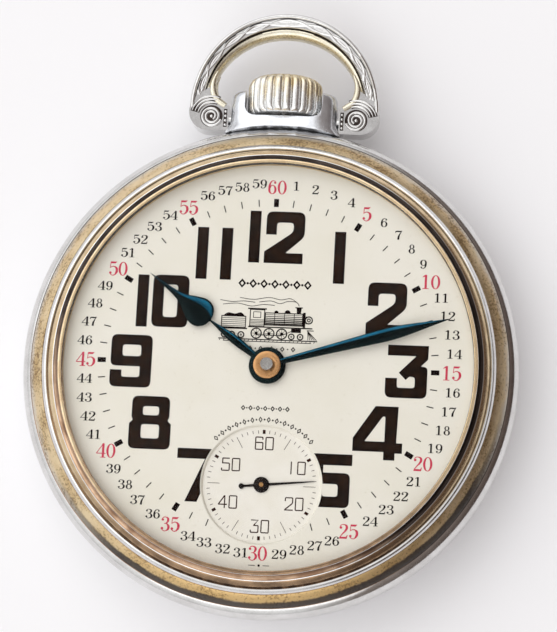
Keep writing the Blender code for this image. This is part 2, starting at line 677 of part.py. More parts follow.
def make_dial():
    holes = [circle(6.05, 32, FOURTH), circle(1.2, 16)]
    plate = flat(circle(21.9, CASE_STEPS), (DIAL_BOTTOM, DIAL_TOP), holes)
    feet = [rod(0.4, (6.5, DIAL_BOTTOM + 0.1), 6, polar(FOOT_RING_R, angle)) for angle in DIAL_FEET]
    finish("dial", union(plate, *feet), "enamel")
    small = flat(circle(6.3, 32), (7.85, 8.15), [circle(0.4, 10)], FOURTH)
    finish("seconds_subdial", small, "enamel")


def hand(name, half, levels, hub_r, bore_r, angle, at=(0.0, 0.0)):
    """Hand drawn along +X from half its outline, then turned to its place."""
    blade = flat(mirrored(half), levels)
    hub = rod(hub_r, levels, 20)
    body = union(blade, hub)
    if bore_r:
        body = cut(body, rod(bore_r, (levels[0] - 1, levels[1] + 1), 12))
    heading = radians(90 - angle)
    body.data.transform(Matrix.Translation((*at, 0)) @ Matrix.Rotation(heading, 4, "Z"))
    finish(name, body, "blued", (*at, 0))


def make_hands():
    minute = [(0.0, 0.0), (1.0, 0.28), (6.0, 0.44), (11.0, 0.63), (12.7, 0.68), (14.5, 0.57),
              (17.0, 0.27), (19.2, 0.0)]
    hand("minute_hand", minute, MINUTE_HAND, 1.4, 0.7, MINUTE_ANGLE)
    hour = [(0.0, 0.0), (1.2, 0.33), (4.0, 0.46), (5.4, 0.36), (7.3, 0.15), (7.6, 0.55), (8.2, 1.33),
            (8.8, 1.5), (9.5, 1.4), (10.8, 0.68), (12.0, 0.34), (13.8, 0.15), (15.5, 0.0)]
    hand("hour_hand", hour, HOUR_HAND, 1.89, 1.18, HOUR_ANGLE)
    seconds = [(-2.3, 0.0), (-2.13, 0.27), (-1.7, 0.2), (0.0, 0.14), (4.0, 0.09), (5.35, 0.0)]
    hand("seconds_hand", seconds, SECONDS_HAND, 0.8, 0.25, SECOND_ANGLE, FOURTH)


clear_scene()
WATCH = bpy.data.collections.new("pocket_watch")
bpy.context.scene.collection.children.link(WATCH)

make_case_middle()
make_case_back()
make_bezel()
make_crystal()
make_pendant()
make_pendant_sleeve()
make_bow()
make_bow_pins()
make_crown()
make_stem()
make_main_plate()
make_barrel_bridge()
make_train_bridge()
make_balance_cock()
make_pallet_bridge()
make_screws()
make_jewels()
make_winding_works()
make_click()
make_setting_works()
make_barrel()
make_train()
make_escapement()
make_balance()
make_regulator()
make_motion_work()
make_dial()
make_hands()
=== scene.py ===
"""Looks of the open face pocket watch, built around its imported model.

The pieces are drawn in millimetres in the frame's own axes, where +Z comes out of the dial
and +Y points to the 12, and each one is scaled to metres as it is placed.
"""

from math import copysign, cos, exp, hypot, pi, radians, sin

import bmesh
import bpy
from mathutils import Matrix, Vector
from mathutils.geometry import tessellate_polygon


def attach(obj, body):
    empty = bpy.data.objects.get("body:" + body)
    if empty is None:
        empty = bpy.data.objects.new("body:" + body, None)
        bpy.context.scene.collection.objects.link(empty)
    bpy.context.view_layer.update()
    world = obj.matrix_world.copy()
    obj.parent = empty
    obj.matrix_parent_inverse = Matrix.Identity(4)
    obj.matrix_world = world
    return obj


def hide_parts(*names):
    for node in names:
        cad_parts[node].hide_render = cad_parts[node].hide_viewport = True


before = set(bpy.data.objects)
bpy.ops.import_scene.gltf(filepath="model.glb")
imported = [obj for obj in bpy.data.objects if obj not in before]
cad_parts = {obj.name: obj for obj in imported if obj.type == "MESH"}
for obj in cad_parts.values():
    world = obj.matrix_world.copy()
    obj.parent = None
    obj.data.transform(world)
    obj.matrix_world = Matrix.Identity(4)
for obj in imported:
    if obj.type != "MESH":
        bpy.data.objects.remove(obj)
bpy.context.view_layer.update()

MM = 0.001
RING_STEPS = 240
STEM_Z = 4.7
STEM_WAY = Matrix.Translation((0, 0, STEM_Z)) @ Matrix.Rotation(-pi / 2, 4, "X")
DIAL_TOP, SUBDIAL_TOP = 8.6, 8.32
SUBDIAL, SUBDIAL_HOLE = (0.0, -12.1), 6.12
MINUTE_ANGLE, HOUR_ANGLE, SECOND_ANGLE = 73.4, 306.1, 84.0
PRINT = 0.02
LOOKS = {}


# ------------------------------------------------------------ flat outlines

def ellipse(rx, ry, count=24, centre=(0.0, 0.0)):
    turns = [2 * pi * k / count for k in range(count)]
    return [(centre[0] + rx * cos(t), centre[1] + ry * sin(t)) for t in turns]


def circle(radius, count=48, centre=(0.0, 0.0)):
    return ellipse(radius, radius, count, centre)


def polar(centre, radius, angle):
    """Point at an angle in degrees, anticlockwise from +X."""
    return (centre[0] + radius * cos(radians(angle)), centre[1] + radius * sin(radians(angle)))


def arc(radius, start, end, count, centre=(0.0, 0.0)):
    step = (end - start) / (count - 1)
    return [polar(centre, radius, start + step * k) for k in range(count)]


def box(x0, y0, x1, y1):
    return [(x0, y0), (x1, y0), (x1, y1), (x0, y1)]


def lozenge(half_width, half_height):
    return [(half_width, 0), (0, half_height), (-half_width, 0), (0, -half_height)]


def clock(radius, angle, centre=(0.0, 0.0)):
    """Point at an angle clockwise from the 12."""
    return (centre[0] + radius * sin(radians(angle)), centre[1] + radius * cos(radians(angle)))


def softened(corners, closed=True):
    """Outline through corners (x, y) or (x, y, radius), with the given ones rounded."""
    points = []
    count = len(corners)
    for k, corner in enumerate(corners):
        here = Vector(corner[:2])
        if len(corner) < 3 or not closed and k in (0, count - 1):
            points.append(tuple(here))
            continue
        back = Vector(corners[k - 1][:2]) - here
        ahead = Vector(corners[(k + 1) % count][:2]) - here
        reach = min(corner[2], 0.5 * back.length, 0.5 * ahead.length)
        start, end = here + back.normalized() * reach, here + ahead.normalized() * reach
        for step in range(6):
            t = step / 5
            points.append(tuple((1 - t) ** 2 * start + 2 * t * (1 - t) * here + t ** 2 * end))
    return points


def placed(points, at=(0.0, 0.0), scale=1.0, turn=0.0, stretch=1.0):
    """Outline scaled, turned anticlockwise in degrees and moved."""
    c, s = cos(radians(turn)), sin(radians(turn))
    return [(at[0] + scale * (x * stretch * c - y * s), at[1] + scale * (x * stretch * s + y * c))
            for x, y in points]


def smooth_path(points, steps=6):
    """Curve through points, whose every coordinate is interpolated alike."""
    out = []
    ends = [points[0], *points, points[-1]]
    for corners in zip(ends, ends[1:], ends[2:], ends[3:]):
        for step in range(steps):
            t = step / steps
            out.append(tuple(0.5 * (2 * b + (c - a) * t + (2 * a - 5 * b + 4 * c - d) * t * t
                                    + (3 * b - a - 3 * c + d) * t ** 3)
                             for a, b, c, d in zip(*corners)))
    return out + [tuple(points[-1])]


def stroke(path, width=None):
    """Outline of a line drawn along a path of (x, y, width) points."""
    if width is not None:
        path = [(*p, width) for p in path]
    left, right = [], []
    for k, (x, y, w) in enumerate(path):
        ahead, back = path[min(k + 1, len(path) - 1)], path[max(k - 1, 0)]
        dx, dy = ahead[0] - back[0], ahead[1] - back[1]
        size = hypot(dx, dy) or 1.0
        nx, ny = -dy / size * w / 2, dx / size * w / 2
        left.append((x + nx, y + ny))
        right.append((x - nx, y - ny))
    return left + right[::-1]


def inset(loop, distance):
    """Closed outline moved inwards."""
    area = sum(a[0] * b[1] - b[0] * a[1] for a, b in zip(loop, loop[1:] + loop[:1]))
    side = distance if area > 0 else -distance
    out = []
    for a, b, c in zip(loop[-1:] + loop[:-1], loop, loop[1:] + loop[:1]):
        a, b, c = Vector(a), Vector(b), Vector(c)
        u, v = (b - a).normalized(), (c - b).normalized()
        n = Vector((-u.y, u.x)) + Vector((-v.y, v.x))
        if n.length < 1e-6:
            out.append(tuple(b))
            continue
        n.normalize()
        reach = side * min(1 / max(n.dot(Vector((-u.y, u.x))), 0.4), 2.0)
        out.append(tuple(b + n * reach))
    return out


# ------------------------------------------------------------------- solids

class Solid:
    """Closed shapes in millimetres, gathered into one piece."""

    def __init__(self):
        self.points, self.faces, self.looks = [], [], []

    def add(self, points, faces, look=0):
        first = len(self.points)
        self.points += points
        self.faces += [tuple(first + k for k in face) for face in faces]
        self.looks += look if isinstance(look, list) else [look] * len(faces)
        return self

    def slab(self, outline, low, high, holes=(), look=0):
        """Plate between two heights, with holes right through."""
        loops = [[Vector((x, y, 0.0)) for x, y in loop] for loop in (outline, *holes)]
        flat = [p for loop in loops for p in loop]
        count = len(flat)
        points = [(p.x, p.y, high) for p in flat] + [(p.x, p.y, low) for p in flat]
        ends = tessellate_polygon(loops)
        faces = [tuple(end) for end in ends] + [tuple(k + count for k in end[::-1]) for end in ends]
        first = 0
        for loop in loops:
            size = len(loop)
            faces += [(first + k, first + (k + 1) % size, first + (k + 1) % size + count,
                       first + k + count) for k in range(size)]
            first += size
        return self.add(points, faces, look)

    def printed(self, outline, holes=(), proud=0.0, level=DIAL_TOP):
        """Thin layer of print; overlapping strokes stand a little proud of one another."""
        return self.slab(outline, level, level + PRINT * (1 + proud), holes)

    def lathe(self, profile, steps=RING_STEPS, closed=True, at=(0.0, 0.0)):
        """Body turned about a vertical axis from (radius, height) or (radius, height, look) points.

        An open profile starts and ends on the axis.
        """
        points, rings = [], []
        for radius, height, *_ in profile:
            turns = 1 if radius < 1e-6 else steps
            rings.append((len(points), turns))
            points += [(*p, height) for p in circle(radius, steps, at)[:turns]]
        faces, looks = [], []
        count = len(profile)
        for k in range(count if closed else count - 1):
            (low, low_turns), (high, high_turns) = rings[k], rings[(k + 1) % count]
            for j in range(steps):
                n = (j + 1) % steps
                corners = tuple(dict.fromkeys((low + j % low_turns, low + n % low_turns,
                                               high + n % high_turns, high + j % high_turns)))
                if len(corners) > 2:
                    faces.append(corners)
                    looks.append(profile[k][2] if len(profile[k]) > 2 else 0)
        return self.add(points, faces, looks)

    def loft(self, rings, look=0):
        """Skin over rings of equal length, with flat ends."""
        size, count = len(rings[0]), len(rings)
        faces = []
        for a in range(0, (count - 1) * size, size):
            b = a + size
            faces += [(a + j, a + (j + 1) % size, b + (j + 1) % size, b + j) for j in range(size)]
        faces += [tuple(range(size))[::-1], tuple((count - 1) * size + j for j in range(size))]
        return self.add([tuple(p) for ring in rings for p in ring], faces, look)

    def tube(self, path, look=0, count=10):
        """Round wire through (x, y, z, radius) points that lie nearly level."""
        rings = []
        for k, (x, y, z, r) in enumerate(path):
            ahead, back = path[min(k + 1, len(path) - 1)], path[max(k - 1, 0)]
            side = Vector((back[1] - ahead[1], ahead[0] - back[0], 0)).normalized()
            rings.append([(x + side.x * c, y + side.y * c, z + s) for c, s in circle(r, count)])
        return self.loft(rings, look)

    def dome(self, x, y, level, radius, height, steps):
        """Low round cap standing on a level disc."""
        leans = [0.1 * pi * k for k in range(1, 6)]
        profile = [(0.0, level + height)]
        profile += [(radius * sin(lean), level + height * cos(lean)) for lean in leans]
        return self.lathe(profile + [(radius, level - 0.1), (0.0, level - 0.1)], steps, False, (x, y))

    def turn(self, matrix, first=0):
        """Move the points from one index on."""
        self.points[first:] = [tuple(matrix @ Vector(p)) for p in self.points[first:]]
        return self

    def mirrored(self):
        """The mirror image of everything, across the line from 6 to 12."""
        return Solid().add([(-x, y, z) for x, y, z in self.points],
                           [face[::-1] for face in self.faces], self.looks)


def drawn(solid):
    """Mesh object, still in millimetres, with every face turned outwards."""
    mesh = bpy.data.meshes.new("work")
    mesh.from_pydata(solid.points, [], solid.faces)
    for face, look in zip(mesh.polygons, solid.looks):
        face.material_index = look
    bm = bmesh.new()
    bm.from_mesh(mesh)
    bmesh.ops.remove_doubles(bm, verts=bm.verts, dist=0.0005)
    bmesh.ops.recalc_face_normals(bm, faces=bm.faces)
    bm.to_mesh(mesh)
    bm.free()
    obj = bpy.data.objects.new("work", mesh)
    bpy.context.scene.collection.objects.link(obj)
    return obj


def applied(obj):
    """The object with its modifiers made part of its mesh."""
    bpy.context.view_layer.update()
    graph = bpy.context.evaluated_depsgraph_get()
    mesh = bpy.data.meshes.new_from_object(obj.evaluated_get(graph))
    result = bpy.data.objects.new("work", mesh)
    bpy.context.scene.collection.objects.link(result)
    bpy.data.objects.remove(obj, do_unlink=True)
    return result


def cut(solid, *tools):
    obj = drawn(solid)
    tools = [drawn(tool) for tool in tools]
    for tool in tools:
        boolean = obj.modifiers.new("cut", "BOOLEAN")
        boolean.operation = "DIFFERENCE"
        boolean.solver = "EXACT"
        boolean.object = tool
    result = applied(obj)
    for tool in tools:
        bpy.data.objects.remove(tool, do_unlink=True)
    return result


def stem_bore(reach):
    """Hole for the stem, from inside the case out to a distance from the dial's axis."""
    return Solid().lathe([(1.25, 20.0), (1.25, reach), (0, reach), (0, 20.0)], 32).turn(STEM_WAY)


def piece(name, shape, looks, body="watch", nodes=(), sharp=32):
    """Finish a drawn shape: metres, materials, and its place on the frame."""
    obj = drawn(shape) if isinstance(shape, Solid) else shape
    obj.name = obj.data.name = name
    obj.data.transform(Matrix.Scale(MM, 4))
    obj.data.shade_smooth()
    obj.data.set_sharp_from_angle(angle=radians(sharp))
    for look in looks.split():
        obj.data.materials.append(LOOKS[look])
    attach(obj, body)
    if nodes:
        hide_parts(*nodes)


# ---------------------------------------------------------------- materials

def tone(red, green, blue):
    """Linear colour from display values."""
    return tuple(((v / 255 + 0.055) / 1.055) ** 2.4 if v > 10 else v / 255 / 12.92
                 for v in (red, green, blue))


class Nodes:
    """Shader nodes of a world or a material; colours are given as display values."""

    def __init__(self, tree):
        self.tree = tree

    def put(self, socket, value):
        if isinstance(value, bpy.types.NodeSocket):
            self.tree.links.new(value, socket)
        elif socket.type == "RGBA":
            socket.default_value = (*tone(*value), 1.0)
        else:
            socket.default_value = value

    def node(self, kind, *values, output=0, **settings):
        """One output of a new node, whose settings and first inputs are given."""
        node = self.tree.nodes.new("ShaderNode" + kind)
        for name, setting in settings.items():
            setattr(node, name, setting)
        for socket, value in zip(node.inputs, values):
            self.put(socket, value)
        return node.outputs[output]

    def vector(self, operation, a, b=(0, 0, 0)):
        output = "Value" if operation in ("LENGTH", "DOT_PRODUCT") else "Vector"
        return self.node("VectorMath", a, b, output=output, operation=operation)

    def math(self, operation, a, b=0.0, clamp=False):
        return self.node("Math", a, b, operation=operation, use_clamp=clamp)

    def plus(self, a, b, weight):
        """a + b * weight."""
        return self.node("Math", b, weight, a, operation="MULTIPLY_ADD")

    def ramp(self, value, *stops):
        """Value or linear colour read from (position, value or colour) stops."""
        out = self.node("ValToRGB", value)
        elements = out.node.color_ramp.elements
        while len(elements) < len(stops):
            elements.new(0.5)
        for element, (position, shade) in zip(elements, stops):
            element.position = position
            element.color = (*(shade if isinstance(shade, tuple) else (shade,) * 3), 1.0)
        return out

    def mix(self, share, a, b):
        node = self.node("Mix", data_type="RGBA").node
        for name, value in (("Factor", share), ("A", a), ("B", b)):
            self.put(node.inputs[name], value)
        return node.outputs["Result"]

    def blend(self, pattern, low, high, share, a, b):
        """Colour a, turning into a share of b as the pattern rises from low to high."""
        return self.mix(self.ramp(pattern, (low, 0.0), (high, share)), a, b)


class Look(Nodes):
    """Principled material whose patterns are laid out in millimetres on the part."""

    def __init__(self, name, metallic=1.0, roughness=0.4):
        material = bpy.data.materials.new(name)
        material.use_nodes = True
        super().__init__(material.node_tree)
        self.shader = self.tree.nodes["Principled BSDF"]
        self.set("Metallic", metallic)
        self.set("Roughness", roughness)
        self.place = self.vector("MULTIPLY", self.node("TexCoord", output="Object"), (1 / MM,) * 3)
        LOOKS[name] = material

    def set(self, name, value):
        self.put(self.shader.inputs[name], value)

    def colour(self, value):
        self.set("Base Color", value)

    def gloss(self, pattern, smooth, rough, high=0.7):
        self.set("Roughness", self.ramp(pattern, (0.3, smooth), (high, rough)))

    def noise(self, scale, detail=3.0, stretch=(1, 1, 1), where=None, roughness=0.55):
        where = self.vector("MULTIPLY", where or self.place, stretch)
        return self.node("TexNoise", where, 0.0, scale, detail, roughness, output="Fac")

    def bump(self, height, depth):
        """Relief of the given depth in millimetres, on top of any before it."""
        bump = self.node("Bump").node
        bump.inputs["Distance"].default_value = depth * MM
        self.put(bump.inputs["Height"], height)
        for link in self.shader.inputs["Normal"].links:
            self.put(bump.inputs["Normal"], link.from_socket)
        self.set("Normal", bump.outputs["Normal"])

    def level(self):
        """Place on the dial's plane, seen from its axis."""
        return self.vector("MULTIPLY", self.place, (1, 1, 0))

    def around(self, run):
        """Coordinates that follow the dial's axis: run spreads the pattern along each circle."""
        level = self.level()
        heading = self.vector("MULTIPLY", self.vector("NORMALIZE", level), (run, run, 0))
        return self.vector("ADD", heading,
                           self.node("CombineXYZ", 0.0, 0.0, self.vector("LENGTH", level)))

    def radius(self, low, high):
        """Distance from the dial's axis, as a share of the way between two radii."""
        reach = self.vector("LENGTH", self.level())
        return self.math("DIVIDE", self.math("SUBTRACT", reach, low), high - low, True)

    def toward(self, way, low, high, share=1.0):
        """How far a place lies round the dial towards a heading."""
        facing = self.vector("DOT_PRODUCT", self.vector("NORMALIZE", self.level()), (*way, 0.0))
        return self.ramp(facing, (low, 0.0), (high, share))


def metal(name, colour, dark, roughness, wear, grain=0.0):
    """Handled metal: tarnish in patches, uneven gloss, hairline scratches and tiny pits."""
    look = Look(name)
    tarnish = look.plus(look.math("MULTIPLY", look.noise(0.55, 5), 0.65), look.noise(5.0, 4), 0.35)
    look.colour(look.blend(tarnish, 0.38, 0.7, wear, colour, dark))
    look.gloss(look.noise(1.6, 5), roughness * 0.7, roughness * 1.5, 0.75)
    look.bump(look.math("ADD", look.noise(3.0, 2, (0.15, 2.2, 1.0)),
                        look.noise(3.0, 2, (2.0, 0.2, 1.0))), 0.002)
    if grain:
        look.bump(look.noise(14.0, 3), grain)


def make_plain_metals():
    silver = (226, 225, 224)
    metal("polished_silver", silver, (150, 146, 142), 0.13, 0.35)
    metal("satin_silver", silver, (140, 134, 128), 0.24, 0.35, 0.002)
    # This dark metal stands for painted shade in the grooves, recesses and bores it lines.
    metal("darkened_groove", (74, 66, 62), (34, 28, 26), 0.4, 0.9, 0.003)
    metal("brass_washer", (206, 158, 108), (150, 104, 66), 0.3, 0.6, 0.003)
    metal("bare_steel", (196, 194, 190), (110, 100, 90), 0.2, 0.6)
    metal("worn_inner_bow", (232, 226, 208), (190, 178, 150), 0.25, 0.6, 0.001)
    metal("black_steel", (24, 22, 24), (44, 36, 30), 0.3, 0.6)
    metal("wheel_brass", (220, 184, 118), (164, 122, 70), 0.22, 0.7, 0.002)
    metal("blued_screw", (34, 58, 110), (24, 34, 64), 0.16, 0.6)
    # blued_highlight is a lighter copy of blued_steel: a painted highlight for the strip of each hand
    # that faces the light.
    for name, dark, light, roughness in (
            ("blued_steel", (13, 21, 22), (19, 31, 31), 0.12),
            ("blued_highlight", (18, 66, 86), (28, 96, 122), 0.14)):
        steel = Look(name)
        steel.colour(steel.blend(steel.noise(0.5, 4), 0.35, 0.7, 1.0, dark, light))
        steel.gloss(steel.noise(4.0, 3), roughness * 0.7, roughness * 1.4)
        steel.bump(steel.noise(12.0, 2), 0.001)


def make_bezel_looks():
    gilt = Look("gilt_line")
    along = gilt.around(9.0)
    rub = gilt.noise(1.4, 5, where=along)
    pale = gilt.blend(rub, 0.4, 0.7, 0.8, (228, 206, 170), (196, 166, 128))
    bottom_copper_reflection = gilt.blend(rub, 0.35, 0.65, 1.0, (174, 144, 114), (124, 102, 82))
    # Dark specks in the copper, denser towards the groove beyond 22.2 mm.
    specks_toward_groove = gilt.plus(gilt.ramp(gilt.radius(22.2, 22.6), (0.0, 0.0), (1.0, 0.5)),
                     gilt.noise(3.5, 4, where=along), 0.6)
    bottom_copper_reflection = gilt.blend(specks_toward_groove, 0.58, 0.72, 0.9, bottom_copper_reflection, (48, 40, 38))
    # Pale gilt round most of the ring, copper towards the bottom: the copper is a painted reflection.
    gilt.colour(gilt.mix(gilt.toward((0.0, -1.0), 0.4, 0.85), pale, bottom_copper_reflection))
    gilt.gloss(rub, 0.15, 0.3)
    gilt.bump(rub, 0.003)

    band = Look("speckled_brass")
    ring = band.around(7.0)
    large = band.noise(0.9, 4, where=ring)
    rub = band.noise(2.4, 5, (1.0, 1.0, 1.6), ring)
    fine = band.noise(4.0, 5, roughness=0.65)
    gold = band.blend(large, 0.35, 0.7, 1.0, (226, 206, 170), (202, 174, 128))
    # Deeper gold towards the bottom of the ring: a painted reflection.
    gold = band.mix(band.toward((0.1, -0.99), 0.6, 0.95, 0.75), gold, (206, 170, 110))
    outward = band.ramp(band.radius(23.0, 24.5), (0.35, 0.0), (0.95, 0.5))
    worn = band.blend(band.plus(outward, rub, 0.5), 0.5, 0.76, 0.8, gold, (214, 210, 204))
    dirt = band.math("MULTIPLY", fine, band.math("ADD", large, 0.5))
    specked = band.blend(dirt, 0.5, 0.66, 0.7, worn, (112, 86, 62))
    # Dark towards the bottom and the outer edge, in noisy patches: a painted reflection of the dark room
    # on the band.
    edge = band.plus(band.plus(outward, large, 0.25), fine, 0.12)
    flank_dark_reflection = band.math("MULTIPLY", band.toward((0.2, -0.98), 0.28, 0.66),
                     band.ramp(edge, (0.35, 0.0), (0.44, 0.92)))
    band.colour(band.mix(flank_dark_reflection, specked, (70, 66, 66)))
    band.gloss(fine, 0.28, 0.5)
    band.bump(fine, 0.008)
    band.bump(rub, 0.008)

    # The groove's colour is painted reflection: dark round most of the ring and tan towards the lower
    # left, where a polished valley would mirror the bright room.
    groove = Look("ring_groove")
    blotches = groove.noise(1.2, 5, where=groove.around(9.0))
    black = groove.blend(blotches, 0.35, 0.75, 1.0, (72, 64, 60), (36, 28, 26))
    groove_bright_reflection = groove.blend(blotches, 0.4, 0.6, 1.0, (200, 168, 140), (150, 118, 94))
    groove.colour(groove.mix(groove.toward((-0.5, -0.87), 0.3, 0.75), black, groove_bright_reflection))
    groove.gloss(blotches, 0.22, 0.42)
    groove.bump(blotches, 0.006)


def make_case_looks():
    pendant = Look("bright_silver", 0.8)
    pendant.colour(pendant.blend(pendant.noise(0.8, 5), 0.42, 0.75, 0.6, (224, 227, 232),
                                 (186, 184, 188)))
    pendant.gloss(pendant.noise(2.0, 4), 0.12, 0.3, 0.75)
    pendant.bump(pendant.noise(3.0, 2, (2.0, 0.3, 1.0)), 0.0015)

    crown = Look("worn_nickel", 0.85)
    height = crown.vector("DOT_PRODUCT", crown.place, (0, 1, 0))
    height = crown.math("DIVIDE", crown.math("SUBTRACT", height, 27.0), 4.0, True)
    worn = crown.plus(crown.math("MULTIPLY", crown.noise(0.9, 4, (1.0, 0.5, 1.0)), 0.8), height, 0.3)
    crown.colour(crown.blend(worn, 0.46, 0.66, 0.85, (236, 236, 235), (224, 207, 170)))
    crown.gloss(crown.noise(3.0, 4), 0.14, 0.34, 0.75)
    crown.bump(crown.noise(8.0, 3), 0.002)

    glass = Look("crystal_glass")
    glass.colour((255, 255, 255))
    facing = glass.node("LayerWeight", 0.12, output="Fresnel")
    glass.set("Alpha", glass.ramp(facing, (0.0, 0.003), (0.2, 0.025), (1.0, 0.4)))
    glass.set("Roughness", glass.ramp(glass.noise(0.6, 3), (0.35, 0.015), (0.8, 0.035)))


def make_dial_looks():
    dial = Look("dial_enamel", 0.0, 0.34)
    aged = dial.blend(dial.noise(0.12, 4), 0.4, 0.75, 0.5, (240, 236, 224), (230, 225, 206))
    dial.colour(dial.blend(dial.noise(2.5, 5), 0.62, 0.8, 0.3, aged, (196, 186, 160)))
    dial.set("Coat Weight", 0.25)
    dial.set("Coat Roughness", 0.12)
    dial.bump(dial.noise(9.0, 3), 0.0012)

    small = Look("subdial_enamel", 0.0, 0.38)
    small.colour(small.blend(small.noise(0.4, 4), 0.4, 0.7, 0.6, (242, 238, 228), (234, 229, 214)))
    small.bump(small.noise(8.0, 3), 0.001)

    for name, dark, light, scale in (("black_print", (10, 4, 4), (28, 16, 14), 6.0),
                                     ("burnt_lume", (18, 8, 4), (44, 26, 15), 1.3),
                                     ("crimson_print", (200, 56, 80), (216, 84, 108), 6.0),
                                     ("fine_print", (38, 14, 10), (66, 36, 30), 6.0)):
        ink = Look(name, 0.0, 0.8)
        ink.colour(ink.blend(ink.noise(scale, 4), 0.35, 0.7, 1.0, dark, light))
        ink.set("Specular IOR Level", 0.04)
        ink.bump(ink.noise(9.0, 3), 0.003)


def make_movement_looks():
    plate = Look("striped_nickel")
    stripe = plate.math("SINE", plate.vector("DOT_PRODUCT", plate.place, (2.3, 1.3, 0.0)))
    share = plate.ramp(plate.plus(0.5, stripe, 0.4), (0.1, 0.0), (0.9, 1.0))
    striped = plate.mix(share, (206, 203, 196), (226, 224, 219))
    plate.colour(plate.blend(plate.noise(0.4, 5), 0.45, 0.8, 0.5, striped, (168, 152, 124)))
    plate.set("Roughness", plate.ramp(share, (0.0, 0.2), (1.0, 0.34)))
    plate.bump(plate.noise(4.0, 3, (0.3, 1.6, 1.0)), 0.002)

    ruby = Look("ruby_jewel", 0.0, 0.08)
    ruby.colour(ruby.blend(ruby.noise(3.0, 3), 0.3, 0.8, 1.0, (176, 20, 58), (112, 6, 30)))
    ruby.set("Coat Weight", 0.6)
    ruby.bump(ruby.noise(6.0, 2), 0.0005)


# --------------------------------------------------------------- case parts

def make_case():
    bezel = [(20.92, 9.3, 2), (20.92, 9.88, 2), (20.96, 9.95, 1), (21.1, 9.98, 1), (21.28, 9.94, 1),
             (21.34, 9.86), (21.38, 9.78, 2), (21.44, 9.6, 2), (21.6, 9.46, 2), (21.82, 9.41, 2),
             (21.86, 9.44), (21.93, 9.42, 1), (22.1, 9.3, 1), (22.35, 9.06, 1), (22.5, 8.88, 1),
             (22.55, 8.8, 2), (22.59, 8.84), (22.69, 8.92), (22.85, 8.9), (23.03, 8.74),
             (23.14, 8.56, 2), (23.17, 8.52, 3)]
    bezel += [(23.2 + 1.22 * k / 8, 8.54 - 1.08 * (k / 8) ** 1.2, 3) for k in range(9)]
    bezel += [(24.46, 7.4, 2), (24.52, 7.4), (24.7, 7.3), (24.95, 7.1), (25.2, 6.82), (25.36, 6.52),
              (25.43, 6.3), (25.41, 6.2), (25.3, 6.16, 2), (23.4, 6.16, 2), (23.4, 7.95, 2),
              (22.3, 8.0, 2), (22.3, 8.75, 1), (20.9, 8.75, 1), (20.9, 9.25, 2)]
    piece("bezel_rings", Solid().lathe(bezel),
          "polished_silver gilt_line ring_groove speckled_brass", "bezel", ["bezel"], 26)

    shares = [k / 14 for k in range(15)]
    crystal = [(20.85 * s, 12.0 - 1.95 * s ** 2) for s in shares]
    crystal += [(20.9, 9.85), (21.25, 9.72), (21.25, 9.36)]
    crystal += [(20.85 * s, 11.3 - 1.9 * s ** 2) for s in reversed(shares)]
    piece("crystal_dome", Solid().lathe(crystal, closed=False), "crystal_glass", "bezel",
          ["crystal"], 30)

    middle = [(22.2, 7.9), (23.3, 7.9), (23.3, 6.05), (24.9, 6.05), (25.2, 5.95), (25.36, 5.7),
              (25.44, 5.2), (25.449, 4.7), (25.41, 4.1), (25.25, 3.5), (24.95, 2.9), (24.6, 2.48),
              (24.3, 2.37), (23.35, 2.37), (23.35, 3.35), (21.0, 3.35), (21.0, 5.8), (22.2, 5.8)]
    piece("case_band", cut(Solid().lathe(middle), stem_bore(27.0)), "polished_silver", "watch",
          ["case_middle"], 26)

    back = [(0, 0.7), (13, 0.7), (19, 1.3), (22.5, 2.0), (22.5, 3.2), (23.2, 3.2), (23.2, 2.3),
            (24.3, 2.3), (24.5, 2.2), (24.48, 2.05), (24.1, 1.8), (23.6, 1.6), (23.3, 1.46),
            (23.2, 1.5), (23.08, 1.5), (23.0, 1.36)]
    back += [(22.8 - 10.8 * k / 12, 1.3 * (1 - k / 12) ** 2) for k in range(12)]
    piece("back_cover", Solid().lathe(back + [(12.0, 0.0), (0, 0)], closed=False), "satin_silver",
          "case_back", ["case_back"], 26)


def make_pendant():
    stations = [(24.0, 6.5, 3.0), (25.0, 6.2, 2.98), (25.5, 5.85, 2.9), (26.0, 5.66, 2.78),
                (26.6, 5.58, 2.7), (27.6, 5.56, 2.66), (28.6, 5.54, 2.6), (29.0, 5.46, 2.5),
                (29.25, 5.3, 2.34), (29.4, 5.05, 2.1)]
    rings = [[(half_width * copysign(abs(c) ** 0.5, c), y,
               STEM_Z + half_depth * copysign(abs(s) ** 0.7, s)) for c, s in circle(1.0, 72)]
             for y, half_width, half_depth in stations]
    gap = softened([(-4.02, 31.0), (-4.02, 26.6, 1.3), (4.02, 26.6, 1.3), (4.02, 31.0)])
    body = cut(Solid().loft(rings), Solid().slab(gap, 0.0, 10.0),
               Solid().slab(circle(25.47, 240), -1.0, 11.0), stem_bore(28.0))
    bevel = body.modifiers.new("round", "BEVEL")
    bevel.width = 0.14
    bevel.segments = 3
    bevel.limit_method = "ANGLE"
    bevel.angle_limit = radians(40)
    piece("pendant_body", applied(body), "bright_silver", "watch", ["pendant"], 40)


